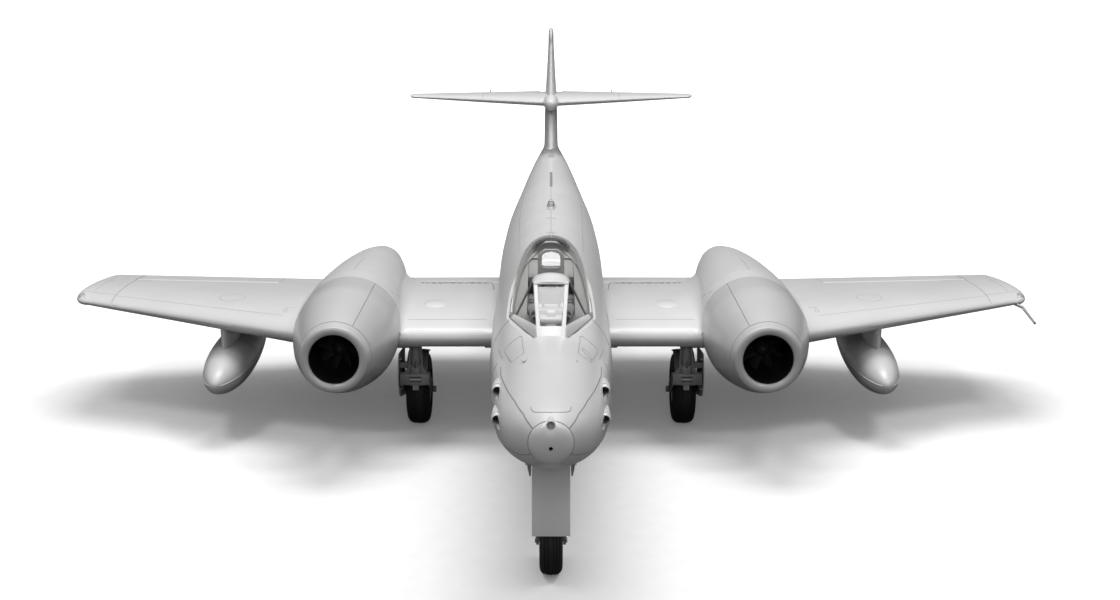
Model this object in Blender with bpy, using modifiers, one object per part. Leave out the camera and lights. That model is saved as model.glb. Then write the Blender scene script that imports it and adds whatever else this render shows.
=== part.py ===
"""Radio controlled twin-jet aeroplane, modelled at one eighth of full size.

The nose points to -Y, +Z is up and +X is the aeroplane's own left side. The origin is on the
ground, under the middle of the overall box. Sizes are in millimetres until point() turns them
into metres. A station is a distance aft of the nose tip.
"""

import math

import bmesh
import bpy
from mathutils import Matrix, Vector

MM = 0.001
NAME = "rc_jet_plane"

# Overall
LENGTH = 1697.6
GAP = 0.3
SKIN = 2.5

# Fuselage: station, half width, top height, bottom height
NOSE_CAP_STATION = 14.0
NOSE_TIP_HEIGHT = 219.0
FUSELAGE_BREAK = 640.0
TAIL_END = 1592.0
FUSELAGE_SECTIONS = (
    (14, 23.4, 242.4, 195.6),
    (45, 42.0, 248.5, 180.0),
    (90, 56.0, 251.0, 163.5),
    (150, 63.5, 252.3, 146.0),
    (220, 68.5, 252.5, 129.0),
    (285, 71.5, 253.0, 115.5),
    (385, 76.0, 277.0, 103.5),
    (500, 77.0, 289.0, 98.0),
    (640, 77.0, 287.2, 95.0),
    (850, 77.0, 289.5, 101.0),
    (1000, 72.5, 290.0, 121.0),
    (1200, 55.5, 289.5, 160.0),
    (1400, 36.0, 287.5, 204.0),
    (1592, 13.0, 281.0, 250.0),
)
CANNON_PORTS = ((58.5, 188.0, 219.0), (56.5, 112.0, 211.0))
CANNON_DEPTH = 20.0
CANNON_RADIUS = 3.6
FRONT_STATIONS = (14.3, 28, 45, 70, 105, 150, 220, 285, 335, 385, 440, 540, 639.7)

# Cockpit deck: level under the windscreen, then rising aft under the canopy
WINDSCREEN_FRONT = 290.0
WINDSCREEN_REAR = 385.0
CANOPY_REAR = 645.0
DECK_HEIGHT = 250.0
DECK_SLOPE = 0.149

# Canopy: station, half width and crown height
CANOPY_SECTIONS = (
    (385, 50.0, 306.0),
    (420, 49.0, 321.0),
    (465, 46.5, 328.0),
    (520, 42.0, 324.5),
    (580, 33.0, 310.0),
    (620, 21.0, 298.0),
    (645, 10.0, 291.5),
)

# Wing: span position, leading edge, trailing edge, leading edge height, thickness ratio
CENTRE_WING = (
    (30.0, 641.0, 1070.0, 147.1, 0.130),
    (286.0, 641.0, 1070.0, 147.1, 0.130),
)
OUTER_WING = (
    (286.0, 641.0, 1052.0, 147.1, 0.130),
    (358.0, 643.0, 1036.4, 151.2, 0.125),
    (650.0, 749.4, 972.8, 167.8, 0.105),
    (688.0, 763.3, 964.5, 170.0, 0.100),
    (698.0, 769.0, 940.0, 170.6, 0.085),
    (704.0, 777.0, 890.0, 170.9, 0.060),
    (708.0, 790.0, 830.0, 171.1, 0.040),
)
WING_DROP_RATIO = 0.034
DROP_LIMIT = 300.0
EDGE_HALF_THICKNESS = 0.5
BAY_REACH = 80.0
BAY_LENGTH = 300.0
FLAP_SPAN = (84.0, 226.0)
FLAP_HINGE = 975.0
AILERON_SPAN = (432.0, 648.0)
AILERON_HINGE = (943.0, 912.0)
AIRBRAKE_SPAN = (99.0, 212.0)
AIRBRAKE_STATIONS = (932.0, 958.0)
AIRBRAKE_THICKNESS = 1.4
WING_SKIN = 3.0
CENTRE_CAVITY_SPAN = (90.0, 262.0)
CENTRE_CAVITY_CHORD = (0.42, 0.65)
OUTER_CAVITY_SPAN = (300.0, 358.0, 640.0)
OUTER_CAVITY_CHORD = (0.12, 0.64)
SPAR_STATION = 800.0
SPAR_HEIGHT = 139.0
SPAR_RADIUS = 7.0
SPAR_HALF_LENGTH = 196.0

# Nacelles: their axis falls slightly going aft; the profile is station and outer radius
NACELLE_X = 286.0
NACELLE_AXIS_HEIGHT = 179.2
NACELLE_SLOPE = 0.034
NACELLE_PROFILE = (
    (496.0, 45.0),
    (520.0, 52.5),
    (560.0, 63.0),
    (627.0, 72.5),
    (720.0, 73.0),
    (860.0, 66.0),
    (1028.0, 49.5),
    (1120.0, 35.0),
)
INTAKE_STATION = 491.0
INTAKE_RADIUS = 33.5
COWL_BREAK = 680.0
NACELLE_END = 1120.0
NACELLE_SKIN = 3.0
FAN_STATION = 557.0
FAN_DUCT_RADIUS = 34.0
FAN_LENGTH = 62.0
FAN_BLADES = 7

# Drop tanks
TANK_X = 471.0
TANK_HEIGHT = 88.0
TANK_RADIUS = 34.0
TANK_NOSE = 610.0
TANK_TAIL = 985.0

# Tail: span position, leading edge, trailing edge, leading edge height, thickness ratio
TAILPLANE = (
    (0.2, 1432.0, 1616.0, 375.4, 0.110),
    (255.0, 1521.0, 1572.0, 375.4, 0.130),
    (264.0, 1526.0, 1567.0, 375.4, 0.120),
    (269.5, 1535.0, 1556.0, 375.4, 0.090),
)
ELEVATOR_SPAN = (22.0, 255.0)
ELEVATOR_HINGE = 1554.0
FIN = (
    (262.0, 1346.0, 1694.0, 0.0, 0.070),
    (375.0, 1454.0, 1698.0, 0.0, 0.073),
    (478.0, 1556.0, 1697.0, 0.0, 0.080),
    (489.0, 1570.0, 1690.0, 0.0, 0.066),
    (495.0, 1592.0, 1670.0, 0.0, 0.030),
)
RUDDER_HINGE = 1603.0
RUDDER_LOWER = (256.0, 361.0)
RUDDER_UPPER = (389.5, 489.0)
BULLET_NOSE = 1406.0
BULLET_TAIL = 1486.0
BULLET_RADIUS = 14.4

# Nose landing gear
NOSE_GEAR_STATION = 186.0
NOSE_HINGE_HEIGHT = 165.0
NOSE_WHEEL_RADIUS = 41.0
NOSE_WHEEL_HALF_WIDTH = 13.3
NOSE_BAY_HALF_WIDTH = 29.5
NOSE_BAY_STATIONS = (170.0, 350.0)
NOSE_DOOR_STATIONS = (196.0, 345.0)
NOSE_DOOR_X = 28.5
# Bay door section about its hinge: the outer plate, a flange and the bar that balances the plate
NOSE_DOOR_SECTION = (
    (0.6, -12.5), (0.6, 0.6), (-7.8, 0.6), (-7.8, 6.7), (-12.2, 6.7), (-12.2, 1.7),
    (-9.0, 1.7), (-9.0, -0.6), (-0.6, -0.6), (-0.6, -12.5),
)

# Main landing gear
MAIN_GEAR_X = 193.0
MAIN_WHEEL_STATION = 721.0
MAIN_HINGE_HEIGHT = 138.0
MAIN_WHEEL_RADIUS = 53.0
MAIN_WHEEL_HALF_WIDTH = 17.0
MAIN_BAY_ROOF = 158.6

# Battery and the weight that balances the model on its wheels
BATTERY_WIDTH = (-24.0, 24.0)
BATTERY_STATIONS = (400.0, 545.0)
BATTERY_HEIGHTS = (113.0, 152.0)
WEIGHT_STATIONS = (62.0, 166.0)
WEIGHT_HEIGHT = 211.0
WEIGHT_RADIUS = 34.0

COLOURS = {
    "airframe": ((0.74, 0.74, 0.75, 1.0), 0.35, 0.0),
    "dark": ((0.03, 0.03, 0.03, 1.0), 0.5, 0.0),
    "cockpit": ((0.35, 0.36, 0.37, 1.0), 0.6, 0.0),
    "metal": ((0.55, 0.56, 0.58, 1.0), 0.35, 1.0),
    "rubber": ((0.02, 0.02, 0.02, 1.0), 0.7, 0.0),
    "glass": ((0.85, 0.88, 0.90, 1.0), 0.05, 0.0),
}


# ---------------------------------------------------------------- scene and objects

def clear_scene():
    for item in list(bpy.data.objects):
        bpy.data.objects.remove(item, do_unlink=True)


def new_collection(name):
    collection = bpy.data.collections.new(name)
    bpy.context.scene.collection.children.link(collection)
    return collection


def material_for(name, look):
    colour, roughness, metallic = COLOURS[look]
    material = bpy.data.materials.new(name)
    material.use_nodes = True
    shader = material.node_tree.nodes["Principled BSDF"]
    shader.inputs["Base Color"].default_value = colour
    shader.inputs["Roughness"].default_value = roughness
    shader.inputs["Metallic"].default_value = metallic
    if look == "glass":
        shader.inputs["Alpha"].default_value = 0.3
    material.diffuse_color = colour
    return material


def add_part(name, mesh, look, pivot=None):
    """Link a mesh as a visible part, with its origin moved to the pivot."""
    item = bpy.data.objects.new(name, mesh)
    PARTS.objects.link(item)
    mesh.materials.clear()
    mesh.materials.append(material_for(name, look))
    mesh.shade_smooth()
    mesh.set_sharp_from_angle(angle=math.radians(35))
    if pivot is not None:
        mesh.transform(Matrix.Translation(-pivot))
        item.location = pivot
    return item


def add_cutter(name, mesh):
    item = bpy.data.objects.new(name, mesh)
    CUTTERS.objects.link(item)
    item.hide_render = True
    item.display_type = "WIRE"
    return item


def boolean(item, tool, operation):
    modifier = item.modifiers.new(operation.lower(), "BOOLEAN")
    modifier.operation = operation
    modifier.object = tool


def subtract(item, *tools):
    for tool in tools:
        boolean(item, tool, "DIFFERENCE")


def unite(item, *tools):
    for tool in tools:
        boolean(item, tool, "UNION")


# ---------------------------------------------------------------- geometry helpers

def point(x, station, height):
    return Vector((x, station - LENGTH / 2, height)) * MM


def mix(a, b, t):
    return a + (b - a) * t


def steps(start, end, count):
    return [mix(start, end, index / count) for index in range(count + 1)]


def smooth_value(points, x):
    """A cubic curve through the points that does not overshoot between them."""
    if x <= points[0][0]:
        return points[0][1]
    if x >= points[-1][0]:
        return points[-1][1]
    slopes = [(b[1] - a[1]) / (b[0] - a[0]) for a, b in zip(points, points[1:])]
    tangents = [slopes[0]]
    for before, after in zip(slopes, slopes[1:]):
        same_way = before * after > 0
        tangents.append(2 * before * after / (before + after) if same_way else 0.0)
    tangents.append(slopes[-1])
    index = max(i for i in range(len(points) - 1) if points[i][0] <= x)
    (x0, y0), (x1, y1) = points[index], points[index + 1]
    width = x1 - x0
    t = (x - x0) / width
    rise = (2 * t**3 - 3 * t**2 + 1) * y0 + (3 * t**2 - 2 * t**3) * y1
    bend = (t**3 - 2 * t**2 + t) * tangents[index] + (t**3 - t**2) * tangents[index + 1]
    return rise + bend * width


def mesh_from(name, bm):
    mesh = bpy.data.meshes.new(name)
    bm.to_mesh(mesh)
    bm.free()
    return mesh


def loft(name, rings, closed_ends=True, ring_closed=True):
    """Skin a list of point rings, each with the same number of points."""
    bm = bmesh.new()
    rows = [[bm.verts.new(p) for p in ring] for ring in rings]
    count = len(rings[0])
    last = count if ring_closed else count - 1
    for row, following in zip(rows, rows[1:]):
        for i in range(last):
            j = (i + 1) % count
            bm.faces.new((row[i], row[j], following[j], following[i]))
    if closed_ends:
        bm.faces.new(reversed(rows[0]))
        bm.faces.new(rows[-1])
    bmesh.ops.recalc_face_normals(bm, faces=bm.faces)
    return mesh_from(name, bm)


def prism(name, outline, shift):
    """A straight prism: an outline of points and the vector to its far end."""
    return loft(name, [outline, [p + shift for p in outline]])


def side_prism(name, outline, x0, x1):
    """A prism across the aeroplane from a side outline of (station, height) pairs."""
    ring = [point(x0, station, height) for station, height in outline]
    return prism(name, ring, Vector(((x1 - x0) * MM, 0, 0)))


def box(name, xs, stations, heights):
    bm = bmesh.new()
    low = point(xs[0], stations[0], heights[0])
    high = point(xs[1], stations[1], heights[1])
    size = Matrix.Diagonal((*[abs(v) for v in (high - low)], 1.0))
    bmesh.ops.create_cube(bm, size=1.0, matrix=Matrix.Translation((low + high) / 2) @ size)
    return mesh_from(name, bm)


def rod(name, start, end, radius, segments=16, end_radius=None):
    """A cylinder or cone between two points."""
    along = end - start
    turn = along.to_track_quat("Z", "Y").to_matrix().to_4x4()
    place = Matrix.Translation((start + end) / 2) @ turn
    bm = bmesh.new()
    bmesh.ops.create_cone(
        bm, cap_ends=True, segments=segments, matrix=place, depth=along.length,
        radius1=radius * MM, radius2=(radius if end_radius is None else end_radius) * MM)
    return mesh_from(name, bm)


def turned(name, profile, centre, axis, segments):
    """Turn a profile of (distance along the axis, radius) pairs about an axis through centre.

    The half step turn keeps the facet edges off the aeroplane's planes of symmetry.
    """
    area = sum(a[1] * b[0] - b[1] * a[0] for a, b in zip(profile, profile[1:] + profile[:1]))
    points = profile if area < 0 else profile[::-1]
    mesh = bpy.data.meshes.new(name + "_profile")
    open_profile = points[0][1] == 0 and points[-1][1] == 0
    edges = [(i, i + 1) for i in range(len(points) - 1)]
    if not open_profile:
        edges.append((len(points) - 1, 0))
    mesh.from_pydata([(radius * MM, 0, along * MM) for along, radius in points], edges, [])
    item = bpy.data.objects.new(name + "_profile", mesh)
    bpy.context.scene.collection.objects.link(item)
    screw = item.modifiers.new("turn", "SCREW")
    screw.steps = segments
    screw.render_steps = segments
    screw.use_merge_vertices = True
    screw.merge_threshold = 0.00001
    solid = bpy.data.meshes.new_from_object(item.evaluated_get(bpy.context.evaluated_depsgraph_get()))
    bpy.data.objects.remove(item, do_unlink=True)
    turn = Vector((0, 0, 1)).rotation_difference(Vector(axis)).to_matrix().to_4x4()
    half_step = Matrix.Rotation(math.pi / segments, 4, "Z")
    solid.transform(Matrix.Translation(centre) @ turn @ half_step)
    solid.name = name
    return solid


# ---------------------------------------------------------------- fuselage

def fuselage_size(station):
    """Half width, top height and bottom height of the fuselage at a station."""
    return [smooth_value([(row[0], row[column]) for row in FUSELAGE_SECTIONS], station)
            for column in (1, 2, 3)]


def fuselage_ring(station, grow=0.0, count=20):
    half_width, top, bottom = fuselage_size(station)
    middle = (top + bottom) / 2
    ring = []
    for index in range(count):
        angle = 2 * math.pi * index / count
        x = (half_width + grow) * math.sin(angle)
        height = middle + ((top - bottom) / 2 + grow) * math.cos(angle)
        ring.append(point(x, station, height))
    return ring


def fuselage_solid(name, stations, grow):
    return loft(name, [fuselage_ring(s, grow) for s in stations])


def fuselage_shell(name, stations):
    """A hollow skin between stations, open at both ends."""
    outer = [fuselage_ring(s) for s in stations]
    inner = [fuselage_ring(s, -SKIN) for s in reversed(stations)]
    return loft(name, outer + inner + outer[:1], closed_ends=False)


def deck_height(station):
    return DECK_HEIGHT + max(0.0, station - WINDSCREEN_REAR) * DECK_SLOPE


def deck_outline(start, end, lower, upper):
    """Side outline of a slab that follows the cockpit deck between two offsets."""
    stations = [start, end] if start > WINDSCREEN_REAR else [start, WINDSCREEN_REAR, end]
    top = [(s, deck_height(s) + upper) for s in stations]
    bottom = [(s, deck_height(s) + lower) for s in reversed(stations)]
    return top + bottom


def build_nose_cap():
    """The round nose with a small port in its tip."""
    radius, depth = 23.4, NOSE_CAP_STATION - GAP
    profile = [(0.0, 0.0)]
    for angle in (18, 36, 54, 72, 90):
        turn = math.radians(angle)
        profile.append((depth * (1 - math.cos(turn)), radius * math.sin(turn)))
    profile.append((depth, 0.0))
    centre = point(0, 0, NOSE_TIP_HEIGHT)
    cap = add_part("nose_cap", turned("nose_cap", profile, centre, (0, 1, 0), 20), "airframe")
    port = rod("nose_port", point(0, -5, NOSE_TIP_HEIGHT), point(0, 6, NOSE_TIP_HEIGHT), 2.6, 12)
    subtract(cap, add_cutter("nose_port", port))


def cannon_troughs():
    """Four short blind ports along the lower sides of the nose."""
    troughs = []
    for side in (-1, 1):
        for level, (x, station, height) in enumerate(CANNON_PORTS):
            name = f"cannon_port_{side}_{level}"
            ends = [point(side * x, station + shift, height) for shift in (-CANNON_DEPTH, CANNON_DEPTH)]
            troughs.append(add_cutter(name, rod(name, *ends, CANNON_RADIUS, 10)))
    return troughs


def build_front_fuselage():
    front = add_part("fuselage_front", fuselage_shell("fuselage_front", FRONT_STATIONS), "airframe")
    above_deck = [(WINDSCREEN_FRONT, deck_height(0)), (WINDSCREEN_REAR, DECK_HEIGHT),
                  (660, deck_height(660)), (660, 330), (WINDSCREEN_FRONT, 330)]
    deck = add_cutter("above_deck", side_prism("above_deck", above_deck, -60, 60))
    bay = box("nose_bay", (-NOSE_BAY_HALF_WIDTH, NOSE_BAY_HALF_WIDTH), NOSE_BAY_STATIONS, (90, 170))
    subtract(front, deck, add_cutter("nose_bay", bay), *cannon_troughs())


def build_rear_fuselage():
    stations = steps(640.0, 1200.0, 6) + [1330, 1460, TAIL_END]
    outer = [fuselage_ring(s) for s in stations]
    inner = [fuselage_ring(s, -SKIN) for s in reversed(stations[:-1])]
    inner.insert(0, fuselage_ring(TAIL_END - 8, -SKIN))
    mesh = loft("fuselage_rear", list(reversed(outer)) + list(reversed(inner)), closed_ends=True)
    rear = add_part("fuselage_rear", mesh, "airframe")
    for side in (-1, 1):
        name = f"wheel_opening_{side}"
        xs = sorted((side * 50, side * 95))
        stations = (MAIN_WHEEL_STATION - 58, MAIN_WHEEL_STATION + 58)
        subtract(rear, add_cutter(name, box(name, xs, stations, (60, MAIN_BAY_ROOF))))
    hatch = box("hatch_opening", (-26.3, 26.3), (789.7, 870.3), (80, 110))
    subtract(rear, add_cutter("hatch_opening", hatch))
    subtract(rear, spar_hole())


def build_belly_hatch():
    hatch = box("belly_hatch", (-26, 26), (790, 870), (97, 107))
    add_part("belly_hatch", hatch, "airframe")


# ---------------------------------------------------------------- lifting surfaces

def section_at(sections, span):
    """Leading edge, trailing edge, height and thickness ratio at a span position."""
    for inner, outer in zip(sections, sections[1:]):
        if span <= outer[0]:
            break
    t = (span - inner[0]) / (outer[0] - inner[0])
    return [mix(a, b, t) for a, b in zip(inner[1:], outer[1:])]


def surface_offsets(sections, span, u, grow=0.0):
    """Station, mid height and half thickness at the fraction u of the chord."""
    leading, trailing, height, ratio = section_at(sections, span)
    chord = trailing - leading
    shape = (0.2969 * math.sqrt(u) - 0.1260 * u - 0.3516 * u**2 + 0.2843 * u**3 - 0.1036 * u**4)
    half = 5 * ratio * chord * shape + EDGE_HALF_THICKNESS * u + grow
    drop = WING_DROP_RATIO * chord * u if 0 < height < DROP_LIMIT else 0.0
    return leading + chord * u, height - drop, half


def wing_place(side):
    return lambda span, station, height: point(side * span, station, height)


def fin_place(span, station, height):
    return point(height, station, span)


def surface_ring(sections, span, place, grow=0.0, count=9):
    fractions = [(1 - math.cos(math.pi * i / count)) / 2 for i in range(count + 1)]
    ring = []
    for u in reversed(fractions):
        station, middle, half = surface_offsets(sections, span, u, grow)
        ring.append(place(span, station, middle + half))
    for u in fractions if grow else fractions[1:]:
        station, middle, half = surface_offsets(sections, span, u, grow)
        ring.append(place(span, station - (grow if u == 0 else 0), middle - half))
    return ring


def surface_solid(name, sections, place, grow=0.0):
    return loft(name, [surface_ring(sections, row[0], place, grow) for row in sections])


def control_frame(sections, span, hinge):
    """Chord fraction, mid height and nose radius of a control surface at its hinge."""
    leading, trailing, _, _ = section_at(sections, span)
    fraction = (hinge - leading) / (trailing - leading)
    _, middle, radius = surface_offsets(sections, span, fraction)
    return fraction, middle, radius


def control_ring(sections, span, hinge, place, count=4):
    """A control surface section: a round nose about the hinge, then the trailing part."""
    fraction, middle, radius = control_frame(sections, span, hinge)
    ring = []
    for u in steps(1.0, fraction, 3):
        station, mid, half = surface_offsets(sections, span, u)
        ring.append(place(span, station, mid + half))
    for index in range(1, count):
        angle = math.pi * index / count
        station = hinge - radius * math.sin(angle)
        ring.append(place(span, station, middle + radius * math.cos(angle)))
    for u in steps(fraction, 1.0, 3):
        station, mid, half = surface_offsets(sections, span, u)
        ring.append(place(span, station, mid - half))
    return ring


def control_surface(name, sections, spans, hinges, place, look="airframe"):
    """A hinged trailing part; its origin is the middle of its hinge line."""
    ends = [(s, mix(*hinges, (s - spans[0]) / (spans[1] - spans[0]))) for s in spans]
    mesh = loft(name, [control_ring(sections, s, hinge, place) for s, hinge in ends])
    hinge_points = [place(s, hinge, control_frame(sections, s, hinge)[1]) for s, hinge in ends]
    return add_part(name, mesh, look, (hinge_points[0] + hinge_points[1]) / 2)


def control_bay(name, sections, spans, hinges, place, end_gap=1.0):
    """The cutter that clears a control surface out of the fixed part."""
    front = []
    for span, hinge, outward in zip(spans, hinges, (-1, 1)):
        radius = control_frame(sections, span, hinge)[2]
        front.append((span + outward * end_gap, hinge - radius - 2 * GAP))
    outline = front + [(span, station + BAY_LENGTH) for span, station in reversed(front)]
    middle = sections[0][3]
    low, high = [[place(span, station, middle + reach) for span, station in outline]
                 for reach in (-BAY_REACH, BAY_REACH)]
    return add_cutter(name, loft(name, [low, high]))


# ---------------------------------------------------------------- wing

def spar_hole():
    name = "spar_hole"
    ends = [point(side * (SPAR_HALF_LENGTH + 1), SPAR_STATION, SPAR_HEIGHT) for side in (-1, 1)]
    return add_cutter(name, rod(name, *ends, SPAR_RADIUS + GAP, 16))


def wing_cavity(name, sections, spans, chord_range, place):
    """The hollow inside a wing panel; it opens where the panel butts on the nacelle."""
    rings = []
    for span in spans:
        edges = []
        for u in steps(*chord_range, 4):
            station, middle, half = surface_offsets(sections, span, u, -WING_SKIN)
            edges.append((place(span, station, middle + half), place(span, station, middle - half)))
        rings.append([top for top, _ in edges] + [bottom for _, bottom in reversed(edges)])
    return add_cutter(name, loft(name, rings))


def nacelle_solid(name, side, grow):
    profile = [(s, nacelle_radius(s) + grow) for s in steps(INTAKE_STATION, NACELLE_END, 16)]
    profile = [(INTAKE_STATION, 0.0)] + profile + [(NACELLE_END, 0.0)]
    return on_nacelle(turned(name, profile, Vector(), (0, 1, 0), 24), side)


def airbrake_outline(margin, top, bottom):
    """Side outline of the airbrake plate, set into the wing's upper surface."""
    leading, trailing = CENTRE_WING[0][1:3]
    stations = (AIRBRAKE_STATIONS[0] - margin, AIRBRAKE_STATIONS[1] + margin)
    upper = []
    for station in stations:
        _, middle, half = surface_offsets(CENTRE_WING, 100, (station - leading) / (trailing - leading))
        upper.append((station, middle + half))
    return ([(station, height - top) for station, height in upper]
            + [(station, height - bottom) for station, height in reversed(upper)])


def main_bay(name, side):
    """The space in the wing that takes the folded leg and wheel."""
    wheel_x = MAIN_GEAR_X - (MAIN_HINGE_HEIGHT - MAIN_WHEEL_RADIUS)
    start = point(side * wheel_x, MAIN_WHEEL_STATION, 60)
    end = point(side * wheel_x, MAIN_WHEEL_STATION, MAIN_BAY_ROOF)
    well = add_cutter(name + "_well", rod(name, start, end, MAIN_WHEEL_RADIUS + 7.0, 28))
    xs = sorted((side * 94, side * 203))
    slot = add_cutter(name + "_slot", box(name, xs, (651, 702), (60, MAIN_BAY_ROOF)))
    return well, slot


def build_wing(side, label):
    place = wing_place(side)
    fuselage = add_cutter("fuselage_space_" + label,
                          fuselage_solid("fuselage_space", steps(560, 1160, 12), GAP))
    nacelle = add_cutter("nacelle_space_" + label, nacelle_solid("nacelle_space", side, GAP))

    centre = add_part("wing_centre_" + label, surface_solid("centre", CENTRE_WING, place), "airframe")
    flap_hinges = (FLAP_HINGE, FLAP_HINGE)
    flap_bay = control_bay("flap_bay_" + label, CENTRE_WING, FLAP_SPAN, flap_hinges, place)
    recess_x = sorted((side * (AIRBRAKE_SPAN[0] - 0.5), side * (AIRBRAKE_SPAN[1] + 0.5)))
    recess = side_prism("recess", airbrake_outline(1.0, -3.0, AIRBRAKE_THICKNESS + 0.6), *recess_x)
    subtract(centre, fuselage, nacelle, flap_bay, add_cutter("airbrake_recess_" + label, recess))
    cavity = wing_cavity("centre_cavity_" + label, CENTRE_WING, CENTRE_CAVITY_SPAN,
                         CENTRE_CAVITY_CHORD, place)
    subtract(centre, *main_bay("main_bay_" + label, side), spar_hole(), cavity)
    control_surface("flap_" + label, CENTRE_WING, FLAP_SPAN, flap_hinges, place)

    brake_x = sorted((side * AIRBRAKE_SPAN[0], side * AIRBRAKE_SPAN[1]))
    brake = side_prism("brake", airbrake_outline(0.0, 0.1, AIRBRAKE_THICKNESS), *brake_x)
    hinge_station, hinge_height = airbrake_outline(0.0, AIRBRAKE_THICKNESS / 2, 0.0)[0]
    hinge = point(side * sum(AIRBRAKE_SPAN) / 2, hinge_station, hinge_height)
    add_part("airbrake_" + label, brake, "airframe", hinge)

    outer = add_part("wing_outer_" + label, surface_solid("outer", OUTER_WING, place), "airframe")
    aileron_bay = control_bay("aileron_bay_" + label, OUTER_WING, AILERON_SPAN, AILERON_HINGE, place)
    cavity = wing_cavity("outer_cavity_" + label, OUTER_WING, OUTER_CAVITY_SPAN,
                         OUTER_CAVITY_CHORD, place)
    subtract(outer, nacelle, aileron_bay, cavity)
    control_surface("aileron_" + label, OUTER_WING, AILERON_SPAN, AILERON_HINGE, place)


def build_wing_spar():
    ends = [point(side * SPAR_HALF_LENGTH, SPAR_STATION, SPAR_HEIGHT) for side in (-1, 1)]
    add_part("wing_spar", rod("wing_spar", *ends, SPAR_RADIUS, 16), "dark")


def build_pitot():
    """The air data tube ahead of the left wing tip."""
    start = point(694.0, 768.5, 167.0)
    bend = point(693.5, 752.0, 165.5)
    tip = point(692.0, 684.0, 160.0)
    tube = add_part("pitot_tube", rod("pitot_tube", bend, tip, 1.8, 10, 1.2), "metal")
    root = add_cutter("pitot_root", rod("pitot_root", start, bend + (tip - bend) * 0.05, 2.6, 10))
    unite(tube, root)
    wing = surface_solid("pitot_space", OUTER_WING, wing_place(1), 0.3)
    subtract(tube, add_cutter("pitot_space", wing))


# ---------------------------------------------------------------- nacelles and fans

def nacelle_radius(station):
    return smooth_value(list(NACELLE_PROFILE), station)


def on_nacelle(mesh, side):
    """Move a mesh made along +Y from the origin onto the axis of one nacelle."""
    start = Matrix.Translation(point(side * NACELLE_X, 0, NACELLE_AXIS_HEIGHT))
    mesh.transform(start @ Matrix.Rotation(-math.atan(NACELLE_SLOPE), 4, "X"))
    return mesh


def build_cowl(side, label):
    """The round intake lip, the front skin and the short duct to the fan."""
    lip_radius = (nacelle_radius(NACELLE_PROFILE[0][0]) - INTAKE_RADIUS) / 2
    lip_middle = INTAKE_RADIUS + lip_radius
    profile = []
    for angle in (180, 135, 90, 45, 0):
        turn = math.radians(angle)
        profile.append((INTAKE_STATION + 5 - 5 * math.sin(turn), lip_middle + lip_radius * math.cos(turn)))
    outer = (512, 535, 575, 627, COWL_BREAK)
    profile += [(s, nacelle_radius(s)) for s in outer]
    profile += [(s, nacelle_radius(s) - NACELLE_SKIN) for s in reversed(outer[2:])]
    profile += [(535, 37.5), (FAN_STATION - GAP, 37.5), (FAN_STATION - GAP, FAN_DUCT_RADIUS)]
    mesh = turned("intake_cowl_" + label, profile, Vector(), (0, 1, 0), 24)
    add_part("intake_cowl_" + label, on_nacelle(mesh, side), "airframe")


def build_nacelle_shell(side, label):
    stations = steps(COWL_BREAK + GAP, NACELLE_END, 6)
    profile = [(s, nacelle_radius(s)) for s in stations]
    profile += [(s, nacelle_radius(s) - NACELLE_SKIN) for s in reversed(stations)]
    mesh = turned("nacelle_" + label, profile, Vector(), (0, 1, 0), 24)
    add_part("nacelle_" + label, on_nacelle(mesh, side), "airframe")


def build_fan(side, label):
    """The fan ring with its motor and stator struts, and the bladed rotor in it."""
    end = FAN_STATION + FAN_LENGTH
    ring = [(FAN_STATION, FAN_DUCT_RADIUS), (FAN_STATION, 37.0), (end, 37.0), (end, FAN_DUCT_RADIUS)]
    mesh = on_nacelle(turned("housing", ring, Vector(), (0, 1, 0), 24), side)
    housing = add_part("fan_housing_" + label, mesh, "dark")
    motor = [(FAN_STATION + 26, 0.0), (FAN_STATION + 26, 13.0), (end + 6, 13.0), (end + 14, 0.0)]
    motor_mesh = on_nacelle(turned("motor", motor, Vector(), (0, 1, 0), 16), side)
    tools = [add_cutter("motor_" + label, motor_mesh)]
    for index in range(3):
        turn = Matrix.Rotation(math.radians(120 * index + 90), 4, "Y")
        strut = box("strut", (-1.0, 1.0), (FAN_STATION + 34, end - 6), (10, 35.5))
        strut.transform(turn @ Matrix.Translation(-point(0, 0, 0)))
        tools.append(add_cutter(f"strut_{label}_{index}", on_nacelle(strut, side)))
    unite(housing, *tools)

    front = FAN_STATION + 2
    hub = [(front - 10, 0.0), (front - 6, 6.0), (front, 10.0), (front + 8, 12.5), (front + 23, 12.5),
           (front + 23, 0.0)]
    middle = front + 12
    axis_point = point(side * NACELLE_X, middle, NACELLE_AXIS_HEIGHT - NACELLE_SLOPE * middle)
    mesh = on_nacelle(turned("rotor", hub, Vector(), (0, 1, 0), 18), side)
    rotor = add_part("fan_rotor_" + label, mesh, "metal", axis_point)
    for index in range(FAN_BLADES):
        blade = box("blade", (-0.8, 0.8), (-11, 11), (11.0, FAN_DUCT_RADIUS - 1.9))
        to_hub = Matrix.Translation(-point(0, 0, 0))
        twist = Matrix.Rotation(math.radians(38), 4, "Z")
        spin = Matrix.Rotation(2 * math.pi * index / FAN_BLADES, 4, "Y")
        blade.transform(Matrix.Translation((0, middle * MM, 0)) @ spin @ twist @ to_hub)
        unite(rotor, add_cutter(f"blade_{label}_{index}", on_nacelle(blade, side)))


# ---------------------------------------------------------------- drop tanks

def tank_radius(station, grow=0.0):
    """A long round-nosed body, fullest at two fifths of its length."""
    t = (station - TANK_NOSE) / (TANK_TAIL - TANK_NOSE)
    fullest = 0.40
    along = (fullest - t) / fullest if t < fullest else (t - fullest) / (1 - fullest)
    power = 2.1 if t < fullest else 1.9
    return TANK_RADIUS * max(0.0, 1 - abs(along) ** power) ** 0.62 + grow


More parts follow.
